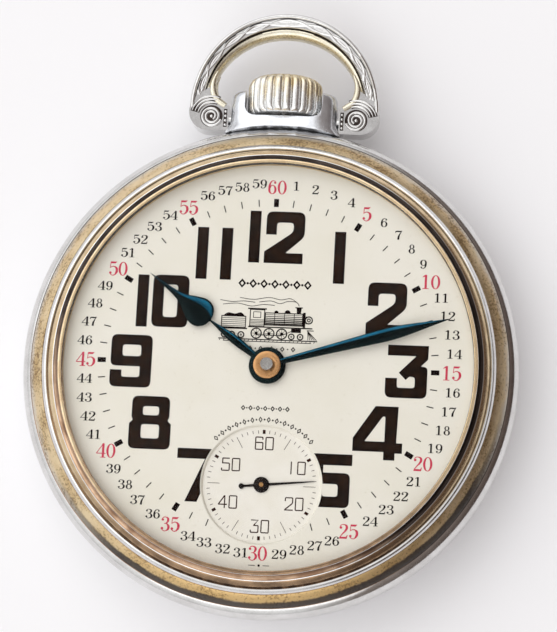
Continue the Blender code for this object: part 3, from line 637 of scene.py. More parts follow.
def make_crown():
    lobes, per_lobe = 24, 12
    profile = [(26.9, 3.0, 0.0), (26.92, 3.3, 0.0), (27.0, 3.5, 0.2), (27.2, 3.72, 0.7),
               (27.45, 3.85, 1.0), (27.8, 3.9, 1.0), (28.8, 3.9, 1.0), (30.0, 3.9, 1.0),
               (30.35, 3.84, 1.0), (30.6, 3.7, 1.0), (30.8, 3.5, 0.8), (30.95, 3.24, 0.5),
               (31.04, 2.94, 0.15), (31.08, 2.6, 0.0), (31.1, 1.8, 0.0), (31.15, 0.9, 0.0),
               (31.15, 0.3, 0.0)]
    hollows = [0.36 * (1 - sin(pi * k / per_lobe) ** 0.55) for k in range(per_lobe)] * lobes
    rings = [[((radius - depth * hollow) * c, (radius - depth * hollow) * s, height)
              for hollow, (c, s) in zip(hollows, circle(1.0, lobes * per_lobe))]
             for height, radius, depth in profile]
    piece("crown_knob", Solid().loft(rings).turn(STEM_WAY), "worn_nickel", "crown",
          ["crown"], 50)


# ---------------------------------------------------------------------- bow

BOW_TIES = (-88, -70, -51.5, -32, -13, 13, 32, 51.5, 70, 88)


def bow_relief(angle, across):
    """Height of the plaited ribbons at an angle from the top and a place across the face."""
    angle = min(max(angle, BOW_TIES[0]), BOW_TIES[-1] - 0.01)
    start, end = [tie for tie in zip(BOW_TIES, BOW_TIES[1:]) if tie[0] <= angle][-1]
    bulge = sin(pi * (angle - start) / (end - start))
    ribbon = max(exp(-((across + side * 0.72 * bulge) / 0.22) ** 2) for side in (-1, 1))
    leaf = exp(-(across / 0.15) ** 2) * max(0.0, bulge - 0.4)
    return 0.085 * ribbon + 0.07 * leaf


def bow_arch():
    """The arch, lofted from foot to foot; its rounded inner side has its own look."""
    rim = [(0.0, 0.0), (0.0, 0.75), (0.02, 1.05), (0.05, 1.25), (0.1, 1.36), (0.15, 1.38),
           (0.19, 1.33), (0.215, 1.2), (0.225, 1.0), (0.235, 1.05)]
    bead = [(0.57, 1.1), (0.58, 1.2), (0.6, 1.25), (0.62, 1.2), (0.63, 1.0), (0.64, 0.86),
            (0.66, 1.0), (0.72, 1.08), (0.81, 1.04), (0.89, 0.9), (0.95, 0.66), (0.99, 0.34), (1.0, 0.0)]
    field, face_start, face_end = 24, 0.24, 0.565
    steps = 360
    rings = []
    for n in range(steps + 1):
        share = n / steps
        outer_angle, inner_angle = radians(-3 + 186 * share), radians(14 + 152 * share)
        outer = Vector((9.95 * cos(outer_angle), 27.6 + 10.5 * sin(outer_angle)))
        inner = Vector((7.75 * cos(inner_angle), 28.3 + 7.2 * sin(inner_angle)))
        face = [(face_start + (face_end - face_start) * k / field,
                 1.12 + bow_relief(93 - 186 * share, 2 * k / field - 1)) for k in range(field + 1)]
        thin = 0.74 + 0.26 * min(1.0, 20 * share, 20 * (1 - share))
        ring = [(*outer.lerp(inner, v), STEM_Z + level * thin) for v, level in rim + face + bead]
        rings.append(ring + [(x, y, 2 * STEM_Z - z) for x, y, z in reversed(ring[1:-1])])
    arch = Solid().loft(rings)
    size = len(rings[0])
    front = size // 2 + 1
    # Columns of the inner side take the worn inner look; the grooves beside the plaited face take the
    # dark look, painted shade.
    for k in range(steps * size):
        column = min(k % size, 2 * front - 3 - k % size)
        if column >= front - 8:
            arch.looks[k] = 1
        elif column in (len(rim) - 3, len(rim) - 2, front - 10, front - 9):
            arch.looks[k] = 2
    return arch


def bow_foot():
    """Right foot with its scroll, nested crescents and beaded panel on both faces."""
    foot = Solid()
    outline = softened([(7.6, 30.1), (7.1, 28.6), (6.9, 28.0, 0.2), (5.78, 27.9), (5.78, 25.25)])
    outline += arc(2.05, -92, 6, 14, (7.9, 27.25)) + [(9.7, 28.6)]
    half, eye = 1.05, (7.57, 26.72)
    level = STEM_Z + half
    foot.slab(outline, STEM_Z - half, level)
    rail = smooth_path([(7.12, 31.6, 0.1), (7.44, 30.9, 0.24), (7.6, 30.2, 0.36), (7.58, 29.6, 0.42),
                        (7.4, 29.0, 0.42), (7.06, 28.5, 0.42), (6.62, 28.16, 0.4), (6.2, 27.9, 0.34)], 5)
    scroll = [(*polar(eye, 1.08 - 0.72 * s, 200 + 760 * s), level + 0.04, 0.175 - 0.045 * s)
              for s in (k / 95 for k in range(96))]
    panel = box(5.92, 25.58, 6.28, 27.52)
    for side in (1, -1):
        first = len(foot.points)
        # The scroll's dark base disc is painted shade between its turns.
        foot.lathe([(0.0, level - 0.2, 2), (0.0, level + 0.02, 2), (0.3, level + 0.02, 2),
                    (1.18, level + 0.03, 2), (1.24, level - 0.2, 2)], 40, True, eye)
        foot.tube(scroll)
        foot.dome(*eye, level, 0.19, 0.14, 16)
        foot.tube([(x, y, level + 0.12 - r, r) for x, y, r in rail], 1, 16)
        # Dark ground under the crescents: painted shadow in the lines between them.
        ground = arc(2.3, 14, 112, 20, eye) + arc(1.34, 112, 14, 20, eye)
        foot.slab(ground, level - 0.2, level + 0.02, (), 2)
        for k in range(3):
            foot.tube([(*polar(eye, 1.5 + 0.31 * k, 15 + 96 * s), level + 0.04 + 0.03 * k,
                        0.05 + 0.11 * sin(pi * s)) for s in (j / 16 for j in range(17))])
        foot.slab(box(5.84, 25.5, 6.36, 27.6), level - 0.1, level + 0.1, [panel])
        # Dark floor of the beaded panel: painted shade in the recess.
        foot.slab(panel, level - 0.1, level + 0.015, (), 2)
        for k in range(4):
            foot.dome(6.1, 25.83 + 0.48 * k, level, 0.17, 0.15, 14)
        if side < 0:
            foot.turn(Matrix.Translation((0, 0, 2 * STEM_Z)) @ Matrix.Scale(-1, 4, (0, 0, 1)), first)
    return foot


def make_bow():
    bow = bow_arch()
    foot = bow_foot()
    for solid in (foot, foot.mirrored()):
        bow.add(solid.points, solid.faces, solid.looks)
    piece("bow_ring", bow, "polished_silver worn_inner_bow darkened_groove", "bow",
          ["bow"], 38)


# --------------------------------------------------------------------- dial

def rounded(x0, y0, x1, y1, radius):
    return [(*corner, radius) for corner in box(x0, y0, x1, y1)]


# Outline, then any windows, of the square hour numbers
HOUR_SHAPES = {
    "1": [box(0, 0, 1.1, 5.25)],
    "0": [rounded(0, 0, 3.6, 5.25, .7), rounded(1.1, 1.0, 2.5, 4.3, .35)],
    "2": [[(.1, 5.25, .7), (3.95, 5.25, .7), (3.95, 2.75, .5), (2.1, 1.05, .15), (3.85, 1.05),
           (3.85, 0), (0, 0), (0, 1.15), (2.82, 3.2, .4), (2.82, 4.15, .35), (1.15, 4.15, .35),
           (1.15, 2.9), (.1, 2.9)]],
    "3": [[(.15, 5.25), (4.15, 5.25), (4.12, 3.9), (3.45, 3.2), (4.1, 3.1, .4), (4.1, 0, .65),
           (0, 0, .65), (0, 1.95), (1.15, 1.95), (1.15, 1.0, .25), (2.9, 1.0, .3), (2.9, 2.1, .3),
           (2.35, 2.15, .1), (2.0, 1.8), (1.3, 2.5), (2.95, 4.2), (.15, 4.2)]],
    "4": [[(2.1, 5.3), (4.35, 5.3), (4.25, 1.7), (4.85, 1.7), (4.85, .7), (4.15, .7), (4.15, 0),
           (3.05, 0), (3.05, .8), (0, .8), (0, 2.1)],
          [(1.15, 1.8, .1), (3.1, 1.8), (3.1, 4.3, .15), (2.85, 4.3, .1)]],
    "5": [[(.1, 5.25), (3.95, 5.25), (3.95, 4.15), (1.15, 4.15), (1.15, 3.4), (3.8, 3.4, .6),
           (3.8, 0, .6), (0, 0, .6), (0, 1.7), (1.15, 1.7), (1.15, 1.05, .25), (2.65, 1.05, .3),
           (2.65, 2.3, .3), (.1, 2.3)]],
    "7": [[(0, 5.25), (4.1, 5.25), (4.1, 4.9), (2.15, 0), (.95, 0), (2.75, 4.25), (0, 4.25)]],
    "8": [[(.2, 5.25, .65), (3.95, 5.25, .65), (3.95, 3.2), (3.8, 2.85), (4.15, 2.5), (4.15, 0, .65),
           (0, 0, .65), (0, 2.5), (.35, 2.85), (.2, 3.2)],
          rounded(1.3, 3.35, 2.9, 4.25, .3), rounded(1.2, 1.05, 3.0, 2.45, .3)],
    "9": [[(0, 5.25, .65), (4.1, 5.25, .65), (4.1, 0, .65), (0, 0, .65), (0, 1.7), (1.15, 1.7),
           (1.15, 1.0, .25), (2.95, 1.0, .3), (2.95, 2.1, .1), (0, 2.1, .6)],
          rounded(1.15, 3.1, 3.0, 4.25, .3)],
}
HOUR_SCALE, HOUR_BORDER = 1.03, 0.14
HOUR_PLACES = (("1", -2.03, 13.4), ("2", 1.04, 13.4), ("1", 6.76, 11.5), ("2", 11.79, 6.37),
               ("3", 14.13, 0.0), ("4", 11.5, -6.37), ("5", 7.03, -11.4), ("7", -6.54, -11.42),
               ("8", -11.64, -6.27), ("9", -13.98, 0.0), ("1", -13.19, 6.3), ("0", -10.32, 6.35),
               ("1", -7.34, 11.5), ("1", -4.84, 11.5))


def make_hour_numerals():
    edge, fill = Solid(), Solid()
    for digit, x, y in HOUR_PLACES:
        outline = HOUR_SHAPES[digit][0]
        across, up = ([corner[axis] for corner in outline] for axis in (0, 1))
        middle = ((min(across) + max(across)) / 2, (min(up) + max(up)) / 2)
        loops = []
        for loop in HOUR_SHAPES[digit]:
            shape = [(px - middle[0], py - middle[1]) for px, py in softened(loop)]
            loops.append(placed(shape, (x, y), HOUR_SCALE))
        edge.printed(loops[0], loops[1:])
        inner = [inset(loops[0], HOUR_BORDER)] + [inset(loop, -HOUR_BORDER) for loop in loops[1:]]
        fill.slab(inner[0], DIAL_TOP, DIAL_TOP + 0.06, inner[1:])
    for name, solid, look in (("hour_numeral_edges", edge, "black_print"),
                              ("hour_numeral_fill", fill, "burnt_lume")):
        well = Solid().slab(circle(6.2, 96, SUBDIAL), DIAL_TOP - 0.5, DIAL_TOP + 0.5)
        piece(name, cut(solid, well), look)


def hollow(y, rx, ry, inner_rx, inner_ry):
    """Closed bowl of a digit."""
    return ellipse(rx, ry, 20, (0, y)), [ellipse(inner_rx, inner_ry, 20, (0, y))]


def pen(*points):
    """Curved stroke through (x, y, width) points."""
    return stroke(smooth_path(points, 5)), []


def ball(x, y, radius):
    return circle(radius, 10, (x, y)), []


# Thick and thin strokes of upright digits one unit high; a 9 is a 6 turned over
FINE_DIGITS = {
    "0": [hollow(0, .29, .5, .15, .455)],
    "1": [(box(-.07, -.48, .07, .5), []), (box(-.2, -.5, .2, -.455), []),
          ([(-.06, .5), (-.21, .35), (-.21, .31), (-.06, .38)], [])],
    "2": [pen((-.23, .3, .04), (-.15, .44, .05), (.0, .475, .05), (.16, .41, .12),
              (.2, .25, .15), (.12, .05, .12), (-.05, -.16, .07), (-.22, -.4, .05)),
          ball(-.17, .26, .085),
          ([(-.26, -.5), (.22, -.5), (.27, -.24), (.23, -.24), (.17, -.37),
            (-.22, -.37)], [])],
    "3": [pen((-.21, .34, .04), (-.1, .465, .05), (.04, .475, .06), (.17, .38, .13),
              (.17, .2, .13), (.07, .06, .06), (-.07, .03, .04)),
          pen((-.07, .03, .04), (.08, .02, .06), (.21, -.12, .14), (.21, -.32, .14),
              (.08, -.46, .06), (-.07, -.475, .05), (-.22, -.36, .04)),
          ball(-.16, .3, .08), ball(-.18, -.3, .085)],
    "4": [pen((.12, .48, .045), (-.28, -.18, .045)), pen((-.3, -.2, .055), (.3, -.2, .055)),
          (box(.06, -.48, .2, .5), []), (box(-.05, -.5, .3, -.455), [])],
    "5": [pen((-.17, .48, .04), (-.2, .04, .04)),
          pen((-.2, .06, .04), (-.05, .15, .05), (.09, .13, .08), (.21, 0, .15),
              (.21, -.25, .15), (.08, -.45, .07), (-.07, -.475, .05), (-.22, -.36, .04)),
          ball(-.18, -.3, .085), ([(-.18, .5), (-.18, .37), (.12, .37), (.23, .5)], [])],
    "6": [hollow(-.17, .27, .33, .13, .285),
          pen((-.2, -.16, .13), (-.19, .12, .12), (-.11, .36, .08), (.04, .475, .05),
              (.19, .4, .04)),
          ball(.16, .33, .075)],
    "7": [pen((-.25, .22, .03), (-.22, .4, .1), (-.05, .42, .14), (.1, .41, .12),
              (.26, .49, .04)),
          pen((.25, .48, .04), (.1, .15, .08), (.0, -.18, .14), (-.02, -.5, .16))],
    "8": [hollow(.26, .2, .24, .095, .195), hollow(-.22, .26, .28, .125, .235)],
}


def write_fine(solid, text, at, height, stretch, pitch):
    """Number in thick and thin strokes, centred on a point."""
    for n, digit in enumerate(text):
        centre = (at[0] + (n - (len(text) - 1) / 2) * pitch, at[1])
        digit, turn = ("6", 180) if digit == "9" else (digit, 0)
        for k, (outline, holes) in enumerate(FINE_DIGITS[digit]):
            solid.printed(placed(outline, centre, height, turn, stretch),
                          [placed(hole, centre, height, turn, stretch) for hole in holes], 0.06 * k)


# The printed numbers stray a little from their minutes: millimetres right and up
STRAYED = {25: (-.3, -.3), 26: (-.3, -.15), 27: (-.15, .0), 29: (.2, -.2), 30: (.0, -.4),
           31: (.3, -.2), 32: (.4, -.2), 33: (.4, -.15), 34: (.6, -.3), 35: (.35, -.35),
           36: (.35, -.2), 37: (.25, -.1), 38: (.3, .0), 39: (.25, .0), 40: (.2, .0),
           44: (.2, .0), 49: (.2, .0), 50: (.24, .2), 51: (.35, .1), 52: (.27, .0),
           53: (.24, .0), 54: (.25, .0), 55: (.3, .05), 56: (.6, .2), 57: (.52, .1),
           58: (.35, .0), 59: (.15, .1)}


MINUTE_RING, NUMBER_RING, FIVES_RING = 17.0, 18.95, 18.65


def make_minute_track():
    black, red = Solid(), Solid()
    for minute in range(60):
        angle = 6 * minute
        at = clock(MINUTE_RING, angle)
        w, h = (0.25, 0.42) if minute % 5 == 0 else (0.05, 0.36)
        if hypot(at[0] - SUBDIAL[0], at[1] - SUBDIAL[1]) > 6.5:
            black.printed(placed(box(-w, -h, w, h), at, 1, -angle))
        number, stray = str(minute or 60), STRAYED.get(minute, (0.0, 0.0))
        if minute % 5:
            write_fine(black, number, clock(NUMBER_RING, angle, stray), 0.94, 1.34, 0.8)
        else:
            write_fine(red, number, clock(FIVES_RING, angle, stray), 1.46, 1.1, 1.0)
    piece("minute_track", black, "black_print")
    piece("five_minute_numbers", red, "crimson_print")


# Strokes of square digits one unit high
SQUARE_DIGITS = {
    "0": [[(0, .5), (-.3, .5, .08), (-.3, -.5, .08), (0, -.5)],
          [(0, .5), (.3, .5, .08), (.3, -.5, .08), (0, -.5)]],
    "1": [[(0, .52), (0, -.52)]],
    "2": [[(-.3, .22), (-.3, .5, .08), (.3, .5, .08), (.3, .06, .1), (-.3, -.46)],
          [(-.36, -.5), (.34, -.5)]],
    "3": [[(-.3, .5), (.28, .5), (-.06, .08)], [(-.1, .06), (.3, .06, .08), (.3, -.5, .08), (0, -.5)],
          [(0, -.5), (-.32, -.5, .08), (-.32, -.3)]],
    "4": [[(.16, -.52), (.16, .52)], [(.14, .5), (-.34, -.22)], [(-.36, -.22), (.36, -.22)]],
    "5": [[(.3, .5), (-.26, .5)], [(-.26, .52), (-.26, .08)],
          [(-.3, .1), (.3, .1, .1), (.3, -.5, .1), (0, -.5)], [(0, -.5), (-.32, -.5, .08), (-.32, -.3)]],
    "6": [[(.28, .3), (.28, .5, .08), (-.3, .5, .08), (-.3, -.5, .08), (0, -.5)],
          [(0, -.5), (.3, -.5, .08), (.3, .06, .08), (-.3, .06)]],
}


def make_dial():
    holes = [circle(SUBDIAL_HOLE, 120, SUBDIAL), circle(1.2, 32)]
    dial = Solid().slab(circle(21.9, RING_STEPS), 8.2, DIAL_TOP, holes)
    lip = [(SUBDIAL_HOLE, DIAL_TOP), (6.04, DIAL_TOP - 0.06), (5.92, 8.3), (5.9, 8.2), (6.14, 8.2)]
    dial.lathe(lip, 120, True, SUBDIAL)
    piece("dial_plate", dial, "dial_enamel", nodes=["dial"])

    profile = [(0.4, 7.85), (0.4, SUBDIAL_TOP)]
    pitch, radius = 0.16, 0.5
    while radius < 6.1:
        profile += [(radius, SUBDIAL_TOP), (radius + pitch * 0.55, SUBDIAL_TOP - 0.001),
                    (radius + pitch * 0.8, SUBDIAL_TOP - 0.005)]
        radius += pitch
    profile += [(6.3, SUBDIAL_TOP - 0.02), (6.3, 7.85)]
    piece("subdial_plate", Solid().lathe(profile, 120, True, SUBDIAL), "subdial_enamel",
          nodes=["seconds_subdial"], sharp=60)

    marks = Solid()
    for second in range(60):
        if second % 10 == 0:
            w, h, reach = 0.14, 0.2, 5.4
        elif second % 5 == 0:
            w, h, reach = 0.022, 0.62, 4.85
        else:
            w, h, reach = 0.025, 0.16, 5.4
        mark = placed(box(-w, -h, w, h), clock(reach, 6 * second, SUBDIAL), 1, -6 * second)
        marks.slab(mark, SUBDIAL_TOP - 0.02, SUBDIAL_TOP + PRINT)
    size = 1.24
    for text, x, y in (("60", 0.08, -7.87), ("10", 3.44, -10.25), ("20", 3.4, -13.9),
                       ("30", 0.05, -16.3), ("40", -3.3, -13.95), ("50", -3.2, -10.15)):
        for digit, side in zip(text, (-0.42, 0.42)):
            for k, line in enumerate(SQUARE_DIGITS[digit]):
                path = placed(softened(line, False), (x + side * size, y), size)
                marks.printed(stroke(path, 0.115), (), 0.06 * k, SUBDIAL_TOP - 0.01)
    piece("seconds_track", marks, "fine_print")


def make_ornaments():
    """Plain ornaments where a dial carries its printed words."""
    solid = Solid()

    def place_lozenge(at, size, half, inner, turn=0):
        solid.printed(placed(lozenge(*half), at, size, turn), [placed(lozenge(*inner), at, size, turn)])

    for x, y, count, pitch, size in ((0.3, 8.5, 7, 1.12, 0.95), (0.0, -4.35, 7, 0.75, 0.55),
                                     (0.3, 1.8, 5, 1.1, 0.55)):
        for k in range(count):
            at = (x + (k - (count - 1) / 2) * pitch, y)
            place_lozenge(at, size, (0.42, 0.5), (0.2, 0.24))
            if k:
                solid.printed(circle(0.13 * size, 10, (at[0] - pitch / 2, y)))
    for k in range(27):
        angle = -46.8 + 3.6 * k
        at = clock(6.62, angle, SUBDIAL)
        if k % 2:
            solid.printed(circle(0.09, 10, at))
        else:
            place_lozenge(at, 1, (0.2, 0.3), (0.1, 0.16), -angle)
    for shape in (box(-0.85, -20.29, -0.2, -20.23), box(0.6, -20.29, 1.25, -20.23),
                  circle(0.12, 12, (0.2, -20.26))):
        solid.printed(shape)
    piece("dial_ornaments", solid, "black_print")


def make_engine():
    """Small side view of a plain steam engine and tender, in line work."""
    engine = Solid()

    def line(points, width=0.08, rise=0):
        engine.printed(stroke(points, width), (), 0.05 * rise)

    def rows(x0, x1, y, pitch, widths):
        for k, width in enumerate(widths):
            line([(x0, y + pitch * k), (x1, y + pitch * k)], width, 1)

    def frame_box(x0, y0, x1, y1, width=0.09):
        engine.printed(box(x0, y0, x1, y1), [box(x0 + width, y0 + width, x1 - width, y1 - width)])

    line([(-5.2, 2.72), (4.9, 2.72)], 0.1)
    line([(-4.7, 2.5), (4.3, 2.5)], 0.07)
    for k in range(24):
        line([(-5.0 + 0.42 * k, 2.7), (-5.1 + 0.42 * k, 2.5)], 0.05, 1)
    # boiler, chimney and domes
    frame_box(-0.55, 4.2, 3.35, 5.55)
    rows(-0.45, 3.3, 4.38, 0.19, [0.045 + 0.02 * (5 - k) for k in range(6)])
    for x in (0.45, 1.45, 2.45):
        line([(x, 4.2), (x, 5.55)], 0.06, 2)
    line([(3.6, 4.55), (3.75, 4.5)], 0.06, 2)
    line([(3.6, 5.2), (3.75, 5.25)], 0.06, 2)
    line([(2.52, 6.14), (3.28, 6.14)], 0.1, 1)
    # cab, and the tender with its coal
    frame_box(-2.1, 4.0, -0.55, 5.85)
    frame_box(-1.75, 4.95, -0.95, 5.6, 0.06)
    line([(-2.3, 5.9), (-0.4, 5.9)], 0.13, 1)
    rows(-2.0, -0.65, 4.15, 0.15, [0.05] * 5)
    line([(-2.2, 4.02), (4.35, 4.02)], 0.12, 1)
    frame_box(-5.0, 3.85, -2.45, 5.1)
    rows(-4.9, -2.55, 4.05, 0.2, [0.05] * 5)
    line([(-5.1, 3.8), (-2.3, 3.8)], 0.12, 2)
    for shape in (box(3.35, 4.1, 3.6, 5.65), [(2.7, 5.55), (3.1, 5.55), (3.16, 6.1), (2.64, 6.1)],
                  arc(0.3, 0, 180, 12, (1.75, 5.55)), arc(0.22, 0, 180, 12, (0.6, 5.55)),
                  box(2.2, 3.55, 3.2, 3.95),
                  smooth_path([(-4.8, 5.1), (-4.3, 5.4), (-3.6, 5.3), (-3.0, 5.45), (-2.6, 5.1)], 4)):
        engine.printed(shape)
    # lamp and wheels: place, radius, hub, bore and rise
    wheels = [(3.95, 4.88, 0.42, 0.2, 0.1, 0)]
    wheels += [(x, 3.36, 0.58, 0.16, 0.06, 2) for x in (-1.35, -0.05, 1.25)]
    wheels += [(x, 3.12, 0.34, 0.1, 0.04, 2) for x in (2.25, 3.15)]
    wheels += [(x, 3.15, 0.36, 0.1, 0.04, 3) for x in (-4.6, -3.85, -2.9)]
    for x, y, radius, hub, bore, rise in wheels:
        for outer, inner in ((radius, radius - 0.12), (hub, bore)):
            engine.printed(circle(outer, 24, (x, y)), [circle(inner, 24, (x, y))], 0.05 * rise)
        for turn in range(0, 180, 45) if radius > 0.5 else ():
            line([polar((x, y), -0.47, turn), polar((x, y), 0.47, turn)], 0.035, 3)
    # rods, buffer and smoke
    line([(-1.35, 3.2), (1.25, 3.2)], 0.09, 4)
    line([(1.25, 3.22), (2.3, 3.7)], 0.06, 5)
    for k in range(5):
        line([(3.9, 3.75), (3.95 + 0.22 * k, 2.82)], 0.06, k)
    line([(3.8, 3.8), (4.5, 3.8)], 0.08, 6)
    plumes = ([(2.9, 6.3), (2.6, 6.7), (1.7, 6.75), (0.9, 6.5), (0.0, 6.75), (-1.2, 6.6)],
              [(2.8, 6.55), (2.0, 7.05), (1.0, 6.9), (-0.2, 7.1), (-1.8, 6.85), (-3.2, 7.0)],
              [(0.4, 6.3), (-0.8, 6.35), (-2.0, 6.15), (-3.4, 6.4), (-4.9, 6.25)],
              [(-1.6, 6.55), (-2.8, 6.65), (-4.0, 6.55), (-5.2, 6.7)])
    for k, plume in enumerate(plumes):
        line(smooth_path(plume, 5), 0.055, k)
    piece("engine_vignette", engine, "black_print")


# -------------------------------------------------------------------- hands

def blade(stations, low, high, heading, at=(0.0, 0.0), bright=None):
    """Hand with a rounded back, from (reach, half width) stations along its heading.

    One strip of its section, if given, takes the brighter look, a painted highlight along that edge.
    """
    section = [(-1, 0.0), (-1, 0.42), (-0.86, 0.72), (-0.42, 0.95), (0, 1.0), (0.42, 0.95),
               (0.86, 0.72), (1, 0.42), (1, 0.0)]
    rings = []
    for x, w in smooth_path(stations, 5):
        w = max(w, 0.012)
        rise = (high - low) * (0.5 + 0.5 * min(1, w / 0.3))
        rings.append([(x, w * a, low + rise * b) for a, b in section])
    hand = Solid().loft(rings)
    size = len(section)
    # The bright strip takes the second look, a painted highlight.
    if bright is not None:
        hand.looks[bright:(len(rings) - 1) * size:size] = [1] * (len(rings) - 1)
    return hand.turn(Matrix.Translation((*at, 0)) @ Matrix.Rotation(radians(90 - heading), 4, "Z"))


def make_hands():
    # bright picks the strip of each hand that gets the painted highlight.
    minute = blade([(1.0, 0.26), (3.0, 0.34), (6.0, 0.44), (9.0, 0.55), (11.0, 0.63), (12.7, 0.675),
                    (14.5, 0.57), (17.0, 0.27), (18.3, 0.12), (19.2, 0.01)], 9.35, 9.52,
                   MINUTE_ANGLE, bright=5)
    minute.lathe([(0.68, 9.35), (1.35, 9.35), (1.42, 9.4), (1.4, 9.48), (1.3, 9.52), (0.68, 9.52)], 48)
    piece("minute_hand_blade", minute, "blued_steel blued_highlight", "centre",
          ["minute_hand"], 40)

    hour = blade([(1.4, 0.3), (2.6, 0.38), (4.0, 0.46), (5.2, 0.38), (6.4, 0.22), (7.3, 0.11),
                  (7.5, 0.13), (7.62, 0.6), (7.85, 1.0), (8.25, 1.35), (8.8, 1.5), (9.4, 1.42),
                  (10.2, 1.06), (11.0, 0.64), (12.0, 0.34), (13.8, 0.16), (14.8, 0.08), (15.5, 0.01)],
                 9.0, 9.22, HOUR_ANGLE, bright=2)
    hour.lathe([(1.12, 9.0), (1.8, 9.0), (1.89, 9.06), (1.86, 9.16), (1.74, 9.22), (1.12, 9.22)], 48)
    piece("hour_hand_blade", hour, "blued_steel blued_highlight", "hour",
          ["hour_hand"], 40)

    washer = [(0.62, 9.5), (1.36, 9.5), (1.4, 9.54), (1.37, 9.6), (1.3, 9.63), (0.66, 9.63), (0.62, 9.6)]
    piece("hub_washer", Solid().lathe(washer, 64), "brass_washer", "centre", sharp=40)
    # The bore in the arbor's tip takes the dark look, painted shade in the hole.
    tip = [(0.0, 9.9, 1), (0.16, 9.9, 1), (0.18, 10.1), (0.24, 10.18), (0.34, 10.18), (0.45, 10.08),
           (0.5, 9.9), (0.52, 9.6), (0.6, 9.58), (0.65, 9.5), (0.65, 9.3), (0.0, 9.3)]
    piece("centre_arbor_tip", Solid().lathe(tip, 40, False), "bare_steel darkened_groove", "centre",
          sharp=40)

    second = blade([(-2.3, 0.05), (-2.13, 0.27), (-1.9, 0.24), (-1.7, 0.12), (-1.0, 0.13), (0, 0.15),
                    (2.0, 0.11), (4.0, 0.08), (5.35, 0.03)], 8.4, 8.53, SECOND_ANGLE, SUBDIAL)
    # The hub's centre takes the dark look, a painted hole inside the brass ring.
    second.lathe([(0.0, 8.58, 2), (0.1, 8.58, 1), (0.12, 8.62, 1), (0.22, 8.62, 1), (0.25, 8.57),
                  (0.6, 8.55), (0.76, 8.5), (0.8, 8.45), (0.78, 8.4), (0.0, 8.4)], 36, False, SUBDIAL)
    piece("seconds_hand_blade", second, "black_steel brass_washer darkened_groove", "fourth",
          ["seconds_hand"], 40)


# ----------------------------------------------------------------- movement

MOVEMENT = {
    "striped_nickel": "main_plate barrel_bridge train_bridge pallet_bridge balance_cock",
    "wheel_brass": "mainspring_barrel barrel_cover centre_wheel third_wheel fourth_wheel "
                   "hour_wheel minute_wheel balance_wheel",
    "bare_steel": "barrel_arbor cannon_pinion click click_spring clutch_wheel crown_wheel "
                  "escape_wheel pallet_fork pendant_sleeve ratchet_wheel regulator setting_lever "
                  "setting_wheel stem winding_pinion yoke",
    "blued_screw": "barrel_bridge_screw_1 barrel_bridge_screw_2 click_screw cock_screw "
                   "crown_wheel_screw ratchet_screw train_bridge_screw_1 train_bridge_screw_2 "
                   "hairspring mainspring",
    "ruby_jewel": "balance_jewel jewel_centre jewel_escape jewel_fourth jewel_third",
    "polished_silver": "bow_pin_left bow_pin_right",
}


def dress_movement():
    """Finishes of the frame's own parts inside the case."""
    for look, names in MOVEMENT.items():
        for name in names.split():
            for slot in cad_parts[name].material_slots:
                slot.material = LOOKS[look]


# ----------------------------------------------------------- camera, lights

def make_camera():
    data = bpy.data.cameras.new("camera")
    data.lens = 156.2
    data.sensor_width = 36.0
    data.clip_start = 0.01
    camera = bpy.data.objects.new("camera", data)
    right = Vector((0.99564, 0.05321, -0.07658))
    up = Vector((-0.03810, 0.98168, 0.18669))
    back = Vector((0.08512, -0.18296, 0.97943))
    turn = Matrix((right, up, back)).transposed().to_4x4()
    camera.matrix_world = Matrix.Translation(Vector((24.60, -45.86, 282.06)) * MM) @ turn
    bpy.context.scene.collection.objects.link(camera)
    bpy.context.scene.camera = camera


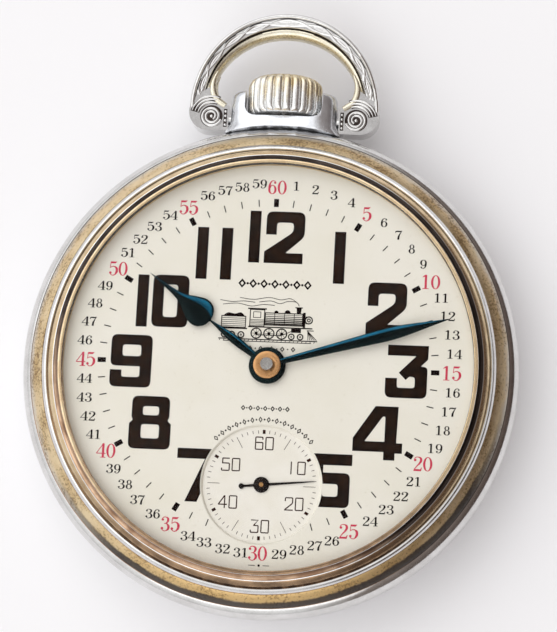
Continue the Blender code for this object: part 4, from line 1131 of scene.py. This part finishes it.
def area_light(name, at, size, power):
    data = bpy.data.lights.new(name, "AREA")
    data.shape = "RECTANGLE"
    data.size, data.size_y = size
    data.energy = power
    lamp = bpy.data.objects.new(name, data)
    lamp.location = at
    lamp.rotation_euler = (-Vector(at)).to_track_quat("-Z", "Y").to_euler()
    bpy.context.scene.collection.objects.link(lamp)


def make_sky():
    """Pale room: darker below and to the right, with a dark card where flat metal looks."""
    world = bpy.data.worlds.new("studio")
    world.use_nodes = True
    sky = Nodes(world.node_tree)
    way = sky.node("TexCoord", output="Generated")
    split = sky.node("SeparateXYZ", way).node.outputs
    height = sky.ramp(split["Z"], (0.0, 0.6), (0.3, 0.8), (0.6, 1.0), (1.0, 1.0))
    card = sky.ramp(sky.vector("DOT_PRODUCT", way, (-0.085, 0.183, 0.979)),
                    (0.96, 1.0), (0.985, (0.16, 0.15, 0.15)), (1.0, (0.12, 0.11, 0.11)))
    side = sky.ramp(sky.node("MapRange", split["X"], -1.0), (0.0, 1.1), (0.56, 1.0),
                    (0.7, (0.26, 0.22, 0.2)), (1.0, (0.1, 0.07, 0.06)))
    background = sky.tree.nodes["Background"].inputs
    sky.put(background["Color"], sky.vector("MULTIPLY", sky.vector("MULTIPLY", height, side), card))
    sky.put(background["Strength"], 1.12)
    bpy.context.scene.world = world


def make_studio():
    make_sky()
    area_light("key", (-0.28, 0.3, 0.5), (0.9, 0.9), 1.3)
    area_light("front", (-0.05, -0.5, 0.5), (0.7, 0.4), 0.6)
    bpy.context.scene.view_settings.view_transform = "Standard"

    look = Look("pale_floor", 0.0, 0.7)
    look.colour((238, 237, 239))
    look.bump(look.noise(2.0, 3), 0.01)
    look.set("Emission Color", (238, 238, 240))
    look.set("Emission Strength", 0.12)
    floor = drawn(Solid().slab(box(-900, -900, 900, 900), -10.0, 0.0))
    floor.name = "floor"
    floor.data.transform(Matrix.Scale(MM, 4))
    floor.data.materials.append(LOOKS["pale_floor"])


for make in (make_plain_metals, make_bezel_looks, make_case_looks, make_dial_looks,
             make_movement_looks, make_case, make_pendant, make_crown, make_bow, make_dial,
             make_hour_numerals, make_minute_track, make_ornaments, make_engine, make_hands,
             dress_movement, make_camera, make_studio):
    make()

bpy.context.view_layer.update()
